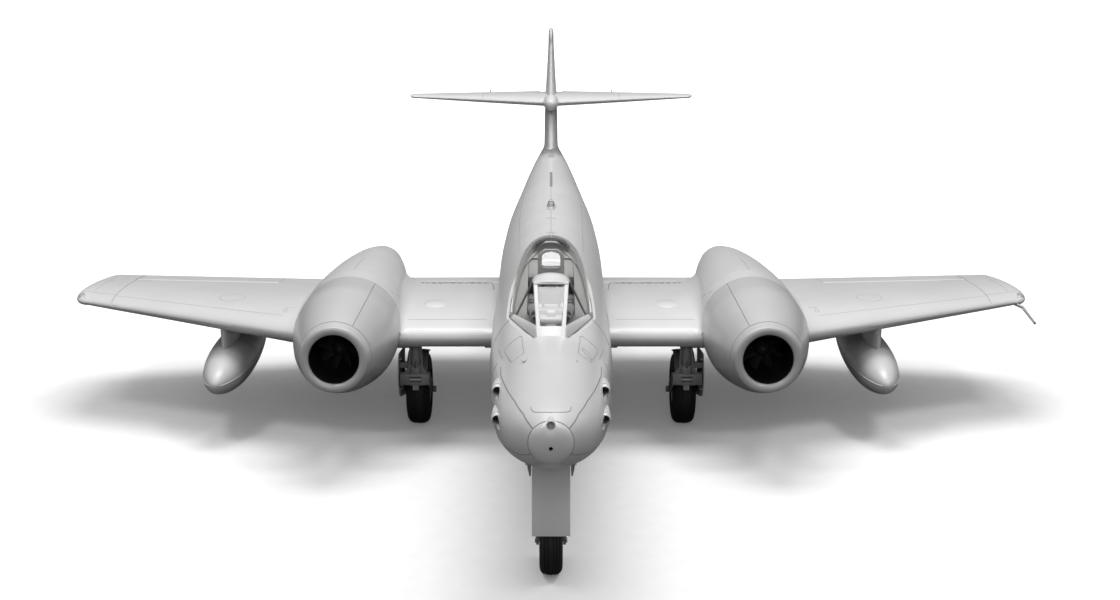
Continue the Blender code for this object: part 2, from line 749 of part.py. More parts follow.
def build_drop_tank(side, label):
    centre = point(side * TANK_X, 0, TANK_HEIGHT)
    spread = [(1 - math.cos(math.pi * i / 11)) / 2 for i in range(12)]
    stations = [mix(TANK_NOSE, TANK_TAIL, t) for t in spread]
    profile = [(s, tank_radius(s)) for s in stations]
    profile[0] = (TANK_NOSE, 0.0)
    profile[-1] = (TANK_TAIL, 0.0)
    mesh = turned("drop_tank_" + label, profile, centre, (0, 1, 0), 20)
    add_part("drop_tank_" + label, mesh, "airframe")

    space = [(s, radius + GAP) for s, radius in profile[1:-1]]
    space = [(space[0][0], 0.0)] + space + [(space[-1][0], 0.0)]
    below = add_cutter("tank_space_" + label, turned("tank_space", space, centre, (0, 1, 0), 20))
    wing = surface_solid("pylon_space", OUTER_WING, wing_place(side), 2 * GAP)
    above = add_cutter("pylon_space_" + label, wing)
    x = side * TANK_X
    outline = [(x - 5.5, 722), (x - 4.5, 708), (x, 698), (x + 4.5, 708), (x + 5.5, 722),
               (x + 5.5, 790), (x, 850), (x - 5.5, 790)]
    ring = [point(across, station, TANK_HEIGHT + 24) for across, station in outline]
    pylon = add_part("tank_pylon_" + label, prism("pylon", ring, Vector((0, 0, 0.036))), "airframe")
    subtract(pylon, below, above)


# ---------------------------------------------------------------- tail

def bullet_profile(grow):
    length = BULLET_TAIL - BULLET_NOSE
    profile = [(BULLET_NOSE - grow, 0.0)]
    for index in range(1, 9):
        turn = math.pi * index / 9
        station = mix(BULLET_NOSE, BULLET_TAIL, (1 - math.cos(turn)) / 2)
        widest = (math.sin(turn)) ** (0.8 if station < BULLET_NOSE + length / 2 else 1.1)
        profile.append((station, BULLET_RADIUS * widest + grow))
    return profile + [(BULLET_TAIL + grow, 0.0)]


def build_tail():
    centre = point(0, 0, TAILPLANE[0][3])
    bullet = turned("fin_bullet", bullet_profile(0.0), centre, (0, 1, 0), 16)
    add_part("fin_bullet", bullet, "airframe")
    bullet_space = add_cutter("bullet_space", turned("space", bullet_profile(GAP), centre, (0, 1, 0), 16))

    fin = add_part("tail_fin", surface_solid("tail_fin", FIN, fin_place), "airframe")
    fuselage = add_cutter("spine_space", fuselage_solid("spine_space", steps(1250, TAIL_END + 20, 8), GAP))
    whole_rudder = (FIN[0][0] - 30, FIN[-1][0] + 10)
    low_radius = control_frame(FIN, FIN[0][0], RUDDER_HINGE)[2]
    front = RUDDER_HINGE - low_radius - 2 * GAP
    bay = box("rudder_bay", (-40, 40), (front, 1760), whole_rudder)
    subtract(fin, fuselage, bullet_space, add_cutter("rudder_bay", bay))
    hinges = (RUDDER_HINGE, RUDDER_HINGE)
    control_surface("rudder_lower", FIN, RUDDER_LOWER, hinges, fin_place)
    control_surface("rudder_upper", FIN, RUDDER_UPPER, hinges, fin_place)

    for side, label in ((1, "left"), (-1, "right")):
        place = wing_place(side)
        tailplane = add_part("tailplane_" + label, surface_solid("tail", TAILPLANE, place), "airframe")
        fin_space = add_cutter("fin_space_" + label, surface_solid("fin_space", FIN, fin_place, GAP))
        hinges = (ELEVATOR_HINGE, ELEVATOR_HINGE)
        rear_span = (-5.0, ELEVATOR_SPAN[1])
        bay = control_bay("elevator_bay_" + label, TAILPLANE, rear_span, hinges, place)
        subtract(tailplane, fin_space, bullet_space, bay)
        control_surface("elevator_" + label, TAILPLANE, ELEVATOR_SPAN, hinges, place)


# ---------------------------------------------------------------- cockpit

def canopy_ring(station, shrink=0.0, count=8):
    """An arch over the deck, from the right side up and over to the left."""
    half_width = smooth_value([(row[0], row[1]) for row in CANOPY_SECTIONS], station) - shrink
    top = smooth_value([(row[0], row[2]) for row in CANOPY_SECTIONS], station) - shrink
    base = deck_height(station) + GAP
    ring = []
    for index in range(count + 1):
        angle = math.pi * index / count
        across = -math.cos(angle)
        up = math.sin(angle) ** 0.85
        ring.append(point(half_width * across, station, base + (top - base) * up))
    return ring


def canopy_shell(name, stations, skin):
    """A bent sheet of even thickness over the stations: outer arch then inner arch."""
    rings = []
    for station in stations:
        rings.append(canopy_ring(station) + list(reversed(canopy_ring(station, skin))))
    return loft(name, rings)


def build_canopy():
    travel_base = point(0, (WINDSCREEN_REAR + CANOPY_REAR) / 2, DECK_HEIGHT)
    stations = [386.2, 415, 450, 490, 540, 590, 620, CANOPY_REAR]
    frame = add_part("canopy_frame", canopy_shell("frame", stations, 2.0), "airframe", travel_base)
    window = deck_outline(393, 604, 5.0, 100.0)
    subtract(frame, add_cutter("canopy_window", side_prism("canopy_window", window, -70, 70)))
    glass_stations = [393.3] + stations[1:6] + [603.7]
    glass = add_part("canopy_glass", canopy_shell("glass", glass_stations, 1.2), "glass", travel_base)
    low, high = -10, 5.3
    skirt = [(370, deck_height(370) + low), (WINDSCREEN_REAR, DECK_HEIGHT + low)]
    skirt += [(640, deck_height(640) + low), (640, deck_height(640) + high)]
    skirt += [(WINDSCREEN_REAR, DECK_HEIGHT + high), (370, deck_height(370) + high)]
    subtract(glass, add_cutter("glass_skirt", side_prism("glass_skirt", skirt, -70, 70)))


def windscreen_rings(inset):
    """The flat front pane's edge, then the arch that meets the canopy."""
    base = DECK_HEIGHT + GAP
    low, high = (WINDSCREEN_FRONT + 2 + inset, 14.5 - inset / 2), (368.0 + inset, 19.0 - inset / 2)
    top = 297.0 - inset
    front = []
    for t in steps(0, 1, 3):
        front.append(point(-mix(low[1], high[1], t), mix(low[0], high[0], t), mix(base, top, t)))
    mirrored = [Vector((-p.x, p.y, p.z)) for p in reversed(front)]
    front = front + [point(0, high[0], top)] + mirrored
    arch = canopy_ring(WINDSCREEN_REAR, inset)
    return front, arch


def windscreen_shell(name, outer_inset, inner_inset):
    bm = bmesh.new()
    outer_front, outer_arch = ([bm.verts.new(p) for p in ring] for ring in windscreen_rings(outer_inset))
    inner_front, inner_arch = ([bm.verts.new(p) for p in ring] for ring in windscreen_rings(inner_inset))
    for i in range(len(outer_front) - 1):
        for front, arch in ((outer_front, outer_arch), (inner_front, inner_arch)):
            bm.faces.new((front[i], front[i + 1], arch[i + 1]))
            bm.faces.new((front[i], arch[i + 1], arch[i]))
        bm.faces.new((outer_arch[i], outer_arch[i + 1], inner_arch[i + 1], inner_arch[i]))
    bm.faces.new(outer_front)
    bm.faces.new(inner_front)
    for end in (0, -1):
        bm.faces.new((outer_front[end], outer_arch[end], inner_arch[end], inner_front[end]))
    bm.faces.new((outer_front[0], outer_front[-1], inner_front[-1], inner_front[0]))
    bmesh.ops.recalc_face_normals(bm, faces=bm.faces)
    return mesh_from(name, bm)


def build_windscreen():
    frame = add_part("windscreen_frame", windscreen_shell("windscreen_frame", 0.0, 2.2), "airframe")
    front_pane = [(300, 258.5), (361, 292.5), (330, 320), (270, 280)]
    front_window = side_prism("front_window", front_pane, -11.5, 11.5)
    subtract(frame, add_cutter("front_window", front_window))
    side_pane = [(318, 257), (379, 257), (379, 291), (372, 291)]
    side_window = side_prism("side_window", side_pane, -70, 70)
    subtract(frame, add_cutter("side_window", side_window))
    add_part("windscreen_glass", windscreen_shell("windscreen_glass", 2.6, 3.8), "glass")


def build_cockpit():
    """The deck plate with its sunk tub, the panel and the seat."""
    slab = side_prism("cockpit_tub", deck_outline(WINDSCREEN_FRONT + 1, 630, -2.4, -GAP), -58, 58)
    tub = add_part("cockpit_tub", slab, "cockpit")
    inside = fuselage_solid("inside", [s for s in FRONT_STATIONS if s > 200], -SKIN - 3 * GAP)
    outer = side_prism("tub_outer", [(392, 208), (392, 250.4), (585, 278.5), (585, 208)], -32, 32)
    inner = side_prism("tub_inner", [(394, 210), (394, 290), (583, 290), (583, 210)], -30, 30)
    unite(tub, add_cutter("tub_outer", outer))
    boolean(tub, add_cutter("fuselage_inside", inside), "INTERSECT")
    subtract(tub, add_cutter("tub_inner", inner))

    panel = side_prism("instrument_panel", [(397, 224), (403, 224), (396.5, 262), (394.5, 262)], -27, 27)
    add_part("instrument_panel", panel, "cockpit")

    outline = [(462, 210.4), (462, 222), (503, 219), (511, 268), (518, 268), (514, 210.4)]
    cushion = side_prism("seat", outline, -16, 16)
    seat = add_part("seat", cushion, "cockpit")
    head = side_prism("headrest", [(510, 264), (511.5, 290), (519.5, 290), (518, 264)], -12, 12)
    unite(seat, add_cutter("headrest", head))


# ---------------------------------------------------------------- nose gear

def wheel_meshes(name, radius, half_width, hub_radius, centre, segments):
    """A tyre and the hub it sits on, both turned about a sideways axle."""
    shoulder = [(half_width, hub_radius + GAP), (half_width, radius * 0.80),
                (half_width * 0.78, radius * 0.95), (half_width * 0.40, radius)]
    tyre = shoulder + [(-across, height) for across, height in reversed(shoulder)]
    hub = [(half_width, 4.0), (half_width - 2, hub_radius)]
    hub += [(2 - half_width, hub_radius), (-half_width, 4.0)]
    axis = (1, 0, 0)
    return (turned(name + "_tyre", tyre, centre, axis, segments),
            turned(name + "_hub", hub, centre, axis, segments))


def build_wheel(prefix, suffix, radius, half_width, hub_radius, centre, segments):
    tyre, hub = wheel_meshes(prefix, radius, half_width, hub_radius, centre, segments)
    add_part(prefix + "_tyre" + suffix, tyre, "rubber", centre)
    add_part(prefix + "_hub" + suffix, hub, "metal", centre)


def build_nose_gear():
    station = NOSE_GEAR_STATION
    pivot = point(0, station, NOSE_HINGE_HEIGHT)
    ends = [point(x, station, NOSE_HINGE_HEIGHT) for x in (-20, 20)]
    barrel = rod("nose_leg", *ends, 6)
    leg = add_part("nose_leg", barrel, "airframe", pivot)
    strut = rod("nose_strut", pivot, point(0, station, 93), 6.5, 20)
    collar = rod("nose_collar", point(0, station, 101), point(0, station, 93), 8.5, 20)
    lugs = box("door_lugs", (-4, 4), (148, station), (122, 128))
    lower_lugs = box("door_lugs_low", (-4, 4), (144.5, station), (100, 106))
    unite(leg, *[add_cutter(m.name, m) for m in (strut, collar, lugs, lower_lugs)])

    axle_height = NOSE_WHEEL_RADIUS
    fork = add_part("nose_fork", rod("nose_fork", point(0, station, 92.7), point(0, station, 84), 8.5, 20),
                    "airframe", point(0, station, axle_height))
    bridge = box("fork_bridge", (-17.2, 17.2), (station - 8, station + 8), (83.2, 88))
    reach = (station - 6, station + 6)
    arms = [box(f"fork_arm_{side}", sorted((side * 13.8, side * 17.2)), reach, (35, 85))
            for side in (-1, 1)]
    axle = rod("fork_axle", point(-18.6, station, axle_height), point(18.6, station, axle_height), 3.6, 14)
    unite(fork, *[add_cutter(m.name, m) for m in [bridge, *arms, axle]])
    centre = point(0, station, axle_height)
    build_wheel("nose", "", NOSE_WHEEL_RADIUS, NOSE_WHEEL_HALF_WIDTH, 22, centre, 24)

    door = side_prism("nose_leg_door", [(150, 141), (134.5, 66), (133, 66.3), (148.5, 141)], -21.5, 21.5)
    add_part("nose_leg_door", door, "airframe", pivot)
    for side, label in ((1, "left"), (-1, "right")):
        heights = []
        for s in NOSE_DOOR_STATIONS:
            half_width, top, bottom = fuselage_size(s)
            middle = (top + bottom) / 2
            reach = math.sqrt(1 - (NOSE_BAY_HALF_WIDTH / half_width) ** 2)
            heights.append(middle - (middle - bottom) * reach)
        rings = [[point(side * (NOSE_DOOR_X + across), s, height - 1 + up)
                  for across, up in NOSE_DOOR_SECTION]
                 for s, height in zip(NOSE_DOOR_STATIONS, heights)]
        hinge = point(side * NOSE_DOOR_X, sum(NOSE_DOOR_STATIONS) / 2, sum(heights) / 2 - 1)
        name = "nose_bay_door_" + label
        add_part(name, loft(name, rings), "airframe", hinge)


# ---------------------------------------------------------------- main gear

def build_main_gear(side, label):
    x = side * MAIN_GEAR_X
    station = MAIN_WHEEL_STATION
    pivot = point(x, 674, MAIN_HINGE_HEIGHT)
    barrel = rod("barrel", point(x, 657, MAIN_HINGE_HEIGHT), point(x, 691, MAIN_HINGE_HEIGHT), 6.5, 14)
    leg = add_part("main_leg_" + label, barrel, "airframe", pivot)
    foot = point(x, 660, 66)
    strut = rod("strut", point(x, 672, MAIN_HINGE_HEIGHT), foot, 6.5, 14)
    inboard, outboard = 19.8, 22.5
    bridge_x = sorted((x - side * inboard, x + side * outboard))
    bridge = box("bridge", bridge_x, (655.5, 665.0), (77, 92))
    outline = [(655.5, 77), (655.5, 92), (666, 92), (station + 6, 61), (station + 6, 47), (station - 8, 47)]
    arm_in = side_prism("arm_in", outline, *sorted((x - side * inboard, x - side * 17.4)))
    arm_out = side_prism("arm_out", outline, *sorted((x + side * 18.2, x + side * outboard)))
    axle = rod("axle", point(x - side * inboard, station, MAIN_WHEEL_RADIUS),
               point(x + side * (outboard + 1.5), station, MAIN_WHEEL_RADIUS), 3.6, 14)
    lug = box("lug", sorted((x, x + side * 23.7)), (668, 676), (98, 106))
    tools = (strut, bridge, arm_in, arm_out, axle, lug)
    unite(leg, *[add_cutter(f"{m.name}_{label}", m) for m in tools])
    centre = point(x, station, MAIN_WHEEL_RADIUS)
    build_wheel("main", "_" + label, MAIN_WHEEL_RADIUS, MAIN_WHEEL_HALF_WIDTH - 0.2, 27, centre, 24)
    door_x = sorted((x + side * 24.0, x + side * 25.5))
    door = box("main_door", door_x, (664, 712), (52, 117))
    add_part("main_door_" + label, door, "airframe", pivot)


# ---------------------------------------------------------------- equipment

def build_equipment():
    add_part("battery", box("battery", BATTERY_WIDTH, BATTERY_STATIONS, BATTERY_HEIGHTS), "dark")
    ends = [point(0, station, WEIGHT_HEIGHT) for station in WEIGHT_STATIONS]
    add_part("nose_weight", rod("nose_weight", *ends, WEIGHT_RADIUS, 24), "metal")


clear_scene()
PARTS = new_collection(NAME)
CUTTERS = new_collection(NAME + "_cutters")
build_nose_cap()
build_front_fuselage()
build_rear_fuselage()
build_belly_hatch()
build_cockpit()
build_windscreen()
build_canopy()
build_wing_spar()
build_pitot()
build_tail()
build_nose_gear()
build_equipment()
for wing_side, wing_label in ((1, "left"), (-1, "right")):
    build_wing(wing_side, wing_label)
    build_cowl(wing_side, wing_label)
    build_nacelle_shell(wing_side, wing_label)
    build_fan(wing_side, wing_label)
    build_drop_tank(wing_side, wing_label)
    build_main_gear(wing_side, wing_label)
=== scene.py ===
"""Looks for a radio controlled twin-jet aeroplane.

Every piece is built from the aeroplane's own sizes, in millimetres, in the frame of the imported
model: the nose points to -Y, +Z is up and +X is the aeroplane's own left side. A station is a
distance aft of the nose tip.
"""
import math

import bmesh
import bpy
from mathutils import Matrix, Vector


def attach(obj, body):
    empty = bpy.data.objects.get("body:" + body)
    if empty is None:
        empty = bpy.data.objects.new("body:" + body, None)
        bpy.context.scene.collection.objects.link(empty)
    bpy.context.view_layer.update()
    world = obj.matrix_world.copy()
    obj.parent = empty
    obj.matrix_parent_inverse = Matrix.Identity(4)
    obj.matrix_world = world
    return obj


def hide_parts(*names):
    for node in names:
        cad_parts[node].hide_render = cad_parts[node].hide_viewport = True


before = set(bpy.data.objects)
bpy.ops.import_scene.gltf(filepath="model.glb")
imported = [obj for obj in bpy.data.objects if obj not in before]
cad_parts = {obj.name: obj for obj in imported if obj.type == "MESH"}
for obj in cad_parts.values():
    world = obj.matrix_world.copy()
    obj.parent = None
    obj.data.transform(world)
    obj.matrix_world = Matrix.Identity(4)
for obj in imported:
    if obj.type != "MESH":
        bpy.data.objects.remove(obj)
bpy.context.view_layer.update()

MM = 0.001
MIDDLE_STATION = 848.8
SIDES = ((1, "left"), (-1, "right"))

# Fuselage: station, half width, top height, bottom height
FUSELAGE = (
    (14, 23.4, 242.4, 195.6),
    (45, 42.0, 248.5, 180.0),
    (90, 56.0, 251.0, 163.5),
    (150, 63.5, 252.3, 146.0),
    (220, 68.5, 252.5, 129.0),
    (285, 71.5, 253.0, 115.5),
    (385, 76.0, 277.0, 103.5),
    (500, 77.0, 289.0, 98.0),
    (640, 77.0, 287.2, 95.0),
    (850, 77.0, 289.5, 101.0),
    (1000, 72.5, 290.0, 121.0),
    (1200, 55.5, 289.5, 160.0),
    (1400, 36.0, 287.5, 204.0),
    (1592, 13.0, 281.0, 250.0),
)
SKIN = 2.5
NOSE_HEIGHT = 219.0
CANNON_PORTS = ((58.5, 188.0, 219.0), (56.5, 112.0, 211.0))

# Lifting surfaces: span position, leading edge, trailing edge, height, thickness ratio
CENTRE_WING = ((30, 641, 1070, 147.1, 0.130), (286, 641, 1070, 147.1, 0.130))
WING_PANEL = (
    (286, 641.0, 1052.0, 147.1, 0.130),
    (358, 643.0, 1036.4, 151.2, 0.125),
    (650, 749.4, 972.8, 167.8, 0.105),
    (684, 761.8, 965.4, 169.8, 0.100),
)
TAIL_PANEL = ((0.2, 1432, 1616, 375.4, 0.110), (252, 1520, 1572.6, 375.4, 0.130))
FIN_PANEL = ((262, 1346, 1694, 0.0, 0.074), (375, 1454, 1698, 0.0, 0.088), (474, 1551, 1697, 0.0, 0.066))
DROP_RATIO = 0.034
EDGE = 0.5

FLAP_SPAN, FLAP_HINGES = (84, 226), (975, 975)
AILERON_SPAN, AILERON_HINGES = (432, 648), (943, 912)
ELEVATOR_SPAN, ELEVATOR_HINGES = (22, 252), (1554, 1554)
RUDDER_HINGES = (1603, 1603)
RUDDER_SPANS = {"lower": (256, 361), "upper": (389.5, 486)}

# Nacelles and tanks
NACELLE_X, NACELLE_Z, NACELLE_SLOPE = 286.0, 179.2, 0.034
NACELLE = ((496, 45), (520, 52.5), (560, 63), (627, 72.5), (720, 73), (860, 66), (1028, 49.5), (1120, 35))
INTAKE, INTAKE_RADIUS, COWL_BREAK = 491.0, 33.5, 680.0
TANK_X, TANK_Z, TANK_RADIUS, TANK_ENDS = 471.0, 88.0, 34.0, (610.0, 985.0)

# Landing gear: pivots, wheels and bays
NOSE_LEG_STATION, NOSE_PIVOT_HEIGHT, NOSE_AXLE_HEIGHT = 186.0, 165.0, 41.0
NOSE_BAY_HALF_WIDTH, NOSE_BAY_STATIONS, NOSE_BAY_ROOF = 29.5, (170, 350), 211
NOSE_DOOR_HINGE, NOSE_DOOR_STATIONS = 28.5, (196, 345)
MAIN_WHEEL_X, MAIN_WHEEL_STATION, MAIN_AXLE_HEIGHT = 193.0, 721.0, 53.0
MAIN_PIVOT_HEIGHT, MAIN_BAY_ROOF = 138.0, 158.6
MAIN_WHEEL_FOLDED_X, MAIN_HUB_FOLDED_X = 108, 105
DOOR_TOE = 5.0

# Gaps and small offsets
CONTROL_GAP, CONTROL_END_GAP = 0.6, 1.0
END_ROUNDING = 0.35 * MM
LINE_LIFT, LINE_DEPTH = 0.07 * MM, 0.3 * MM
PANEL_GROOVE = 0.45
TIP_ROWS = 11
MOTTLE = 0.03

# Canopy: station, half width, crown height
CANOPY = ((385, 50, 306), (420, 49, 321), (465, 46.5, 328), (520, 42, 324.5), (580, 33, 310),
          (620, 21, 298), (645, 10, 291.5))


# ---------------------------------------------------------------- looks

def node_tree(name):
    material = bpy.data.materials.new(name)
    material.use_nodes = True
    tree = material.node_tree
    return material, tree, tree.nodes["Principled BSDF"]


def noise_node(tree, scale, detail=3.0, roughness=0.5):
    coords = tree.nodes.new("ShaderNodeTexCoord")
    noise = tree.nodes.new("ShaderNodeTexNoise")
    noise.inputs["Scale"].default_value = scale
    noise.inputs["Detail"].default_value = detail
    noise.inputs["Roughness"].default_value = roughness
    tree.links.new(coords.outputs["Object"], noise.inputs["Vector"])
    return noise


def ramp_node(tree, source, low, high, start=0.35, end=0.65):
    ramp = tree.nodes.new("ShaderNodeValToRGB")
    ramp.color_ramp.elements[0].position = start
    ramp.color_ramp.elements[1].position = end
    ramp.color_ramp.elements[0].color = low
    ramp.color_ramp.elements[1].color = high
    tree.links.new(source, ramp.inputs["Fac"])
    return ramp


def grey(value, warm=0.0):
    return (value * (1 + warm), value, value * (1 - warm), 1.0)


def shell_look(name, base, roughness, speckle=0.05, bump=0.05, metallic=0.0, coat=0.0,
               fine=1400.0, crease=True, warm=0.0):
    """Moulded plastic or painted metal: soft mottling, fine speckle, grain and painted shade in the
    creases.
    """
    material, tree, shader = node_tree(name)
    broad = noise_node(tree, 9.0, 4.0, 0.6)
    tone = ramp_node(tree, broad.outputs["Fac"], grey(base * (1 - MOTTLE), warm),
                     grey(base * (1 + MOTTLE), warm))
    grain = noise_node(tree, fine, 2.0, 0.7)
    spots = ramp_node(tree, grain.outputs["Fac"], grey(1 - speckle), grey(1.0), 0.30, 0.52)
    mixed = tree.nodes.new("ShaderNodeMix")
    mixed.data_type = "RGBA"
    mixed.blend_type = "MULTIPLY"
    mixed.inputs["Factor"].default_value = 1.0
    tree.links.new(tone.outputs["Color"], mixed.inputs["A"])
    tree.links.new(spots.outputs["Color"], mixed.inputs["B"])
    colour = mixed.outputs["Result"]
    # Painted shade: ambient occlusion darkens the colour in creases and hollows.
    if crease:
        shade = tree.nodes.new("ShaderNodeAmbientOcclusion")
        shade.samples = 4
        shade.inputs["Distance"].default_value = 0.006
        tree.links.new(colour, shade.inputs["Color"])
        dark = ramp_node(tree, shade.outputs["AO"], grey(0.55), grey(1.0), 0.15, 0.75)
        crease_shaded = tree.nodes.new("ShaderNodeMix")
        crease_shaded.data_type = "RGBA"
        crease_shaded.blend_type = "MULTIPLY"
        crease_shaded.inputs["Factor"].default_value = 1.0
        tree.links.new(colour, crease_shaded.inputs["A"])
        tree.links.new(dark.outputs["Color"], crease_shaded.inputs["B"])
        colour = crease_shaded.outputs["Result"]
    tree.links.new(colour, shader.inputs["Base Color"])
    smear = noise_node(tree, 34.0, 5.0, 0.65)
    gloss = tree.nodes.new("ShaderNodeMapRange")
    gloss.inputs["To Min"].default_value = roughness - 0.05
    gloss.inputs["To Max"].default_value = roughness + 0.07
    tree.links.new(smear.outputs["Fac"], gloss.inputs["Value"])
    tree.links.new(gloss.outputs["Result"], shader.inputs["Roughness"])
    relief = tree.nodes.new("ShaderNodeBump")
    relief.inputs["Strength"].default_value = bump
    relief.inputs["Distance"].default_value = 0.0004
    tree.links.new(grain.outputs["Fac"], relief.inputs["Height"])
    tree.links.new(relief.outputs["Normal"], shader.inputs["Normal"])
    shader.inputs["Metallic"].default_value = metallic
    shader.inputs["Coat Weight"].default_value = coat
    shader.inputs["Coat Roughness"].default_value = 0.18
    return material


def glass_look(name, tint, haze):
    """Thin clear plastic: see-through face on, more mirror-like at grazing angles."""
    material, tree, shader = node_tree(name)
    tree.nodes.remove(shader)
    output = tree.nodes["Material Output"]
    clear = tree.nodes.new("ShaderNodeBsdfTransparent")
    clear.inputs["Color"].default_value = tint
    sheen = tree.nodes.new("ShaderNodeBsdfGlossy")
    smear = noise_node(tree, 60.0, 4.0, 0.6)
    gloss = tree.nodes.new("ShaderNodeMapRange")
    gloss.inputs["To Min"].default_value = 0.02
    gloss.inputs["To Max"].default_value = haze
    tree.links.new(smear.outputs["Fac"], gloss.inputs["Value"])
    tree.links.new(gloss.outputs["Result"], sheen.inputs["Roughness"])
    edge = tree.nodes.new("ShaderNodeLayerWeight")
    edge.inputs["Blend"].default_value = 0.16
    rise = tree.nodes.new("ShaderNodeMapRange")
    rise.inputs["To Min"].default_value = 0.025
    rise.inputs["To Max"].default_value = 0.55
    tree.links.new(edge.outputs["Facing"], rise.inputs["Value"])
    facing = tree.nodes.new("ShaderNodeNewGeometry")
    front = tree.nodes.new("ShaderNodeMath")
    front.operation = "SUBTRACT"
    front.inputs[0].default_value = 1.0
    tree.links.new(facing.outputs["Backfacing"], front.inputs[1])
    share = tree.nodes.new("ShaderNodeMath")
    share.operation = "MULTIPLY"
    tree.links.new(rise.outputs["Result"], share.inputs[0])
    tree.links.new(front.outputs["Value"], share.inputs[1])
    blend = tree.nodes.new("ShaderNodeMixShader")
    tree.links.new(share.outputs["Value"], blend.inputs["Fac"])
    tree.links.new(clear.outputs["BSDF"], blend.inputs[1])
    tree.links.new(sheen.outputs["BSDF"], blend.inputs[2])
    tree.links.new(blend.outputs["Shader"], output.inputs["Surface"])
    return material


LOOKS = {
    "shell": shell_look("airframe_shell", 0.56, 0.32, coat=0.2),
    # Painted shade: the cowl grey is a darker copy of the airframe grey, standing in for the shade on the
    # forward-facing cowls and intake lips.
    "cowl": shell_look("cowl_shaded_shell", 0.44, 0.32, coat=0.2),
    "line": shell_look("panel_line", 0.20, 0.6, crease=False),
    "seam": shell_look("panel_seam", 0.30, 0.5, crease=False),
    # Painted shadow: a much darker grey than the light grey airframe plastic, standing in for the shadow
    # that falls on the landing gear beneath the aeroplane.
    "gear": shell_look("gear_shaded_grey", 0.20, 0.45, speckle=0.10),
    "leg_door": shell_look("leg_door_grey", 0.70, 0.40),
    "door": shell_look("door_grey", 0.42, 0.42),
    "cockpit": shell_look("cockpit_grey", 0.38, 0.6, speckle=0.12, bump=0.15),
    "seat": shell_look("seat_padding", 0.30, 0.85, speckle=0.3, bump=0.5, fine=900.0),
    "strap": shell_look("strap_webbing", 0.38, 0.8, speckle=0.35, bump=0.6, fine=1900.0),
    "black": shell_look("intake_black", 0.012, 0.42, speckle=0.3, crease=False),
    "fan": shell_look("fan_dark", 0.035, 0.35, speckle=0.2, crease=False),
    "steel": shell_look("bright_steel", 0.55, 0.22, metallic=1.0, speckle=0.08, crease=False),
    "pitot": shell_look("pitot_steel", 0.45, 0.35, metallic=0.6, speckle=0.08, crease=False),
    "tyre": shell_look("tyre_rubber", 0.007, 0.62, speckle=0.5, bump=0.35, fine=1100.0, crease=False),
    "bay": shell_look("bay_grey", 0.30, 0.6, speckle=0.12),
    "lamp": shell_look("lamp_lens", 0.34, 0.12, speckle=0.02, coat=0.8, crease=False),
    "brass": shell_look("brass_weight", 0.45, 0.35, metallic=1.0, crease=False, warm=0.25),
    "pack": shell_look("battery_wrap", 0.05, 0.45, crease=False),
    "glass": glass_look("clear_canopy", (0.955, 0.955, 0.95, 1.0), 0.05),
}


# ---------------------------------------------------------------- geometry helpers

def at(x, station, height):
    return Vector((x, station - MIDDLE_STATION, height)) * MM


def mix(a, b, t):
    return a + (b - a) * t


def steps(start, end, count):
    return [mix(start, end, i / count) for i in range(count + 1)]


def smooth_value(points, x):
    """A cubic curve through the points that does not overshoot between them."""
    if x <= points[0][0]:
        return points[0][1]
    if x >= points[-1][0]:
        return points[-1][1]
    slopes = [(b[1] - a[1]) / (b[0] - a[0]) for a, b in zip(points, points[1:])]
    tangents = [slopes[0]]
    for before, after in zip(slopes, slopes[1:]):
        tangents.append(2 * before * after / (before + after) if before * after > 0 else 0.0)
    tangents.append(slopes[-1])
    index = max(i for i in range(len(points) - 1) if points[i][0] <= x)
    (x0, y0), (x1, y1) = points[index], points[index + 1]
    width = x1 - x0
    t = (x - x0) / width
    rise = (2 * t**3 - 3 * t**2 + 1) * y0 + (3 * t**2 - 2 * t**3) * y1
    bend = (t**3 - 2 * t**2 + t) * tangents[index] + (t**3 - t**2) * tangents[index + 1]
    return rise + bend * width


def make_mesh(name, points, faces, looks=("shell",), marks=None):
    mesh = bpy.data.meshes.new(name)
    mesh.from_pydata([tuple(p) for p in points], [], faces)
    for look in looks:
        mesh.materials.append(LOOKS[look])
    if marks:
        mesh.polygons.foreach_set("material_index", marks)
    bm = bmesh.new()
    bm.from_mesh(mesh)
    bmesh.ops.remove_doubles(bm, verts=bm.verts, dist=1e-7)
    bmesh.ops.recalc_face_normals(bm, faces=bm.faces)
    bm.to_mesh(mesh)
    bm.free()
    mesh.update()
    return mesh


def loft(name, rings, looks=("shell",), loop=False):
    """Skin closed rings of points; loop joins the last ring back to the first."""
    count = len(rings[0])
    points = [p for ring in rings for p in ring]
    faces = []
    pairs = list(range(len(rings) - 1)) + ([len(rings) - 1] if loop else [])
    for row in pairs:
        following = (row + 1) % len(rings)
        for i in range(count):
            j = (i + 1) % count
            faces.append((row * count + i, row * count + j, following * count + j, following * count + i))
    if not loop:
        faces.append(tuple(reversed(range(count))))
        faces.append(tuple(range((len(rings) - 1) * count, len(rings) * count)))
    return make_mesh(name, points, faces, looks)


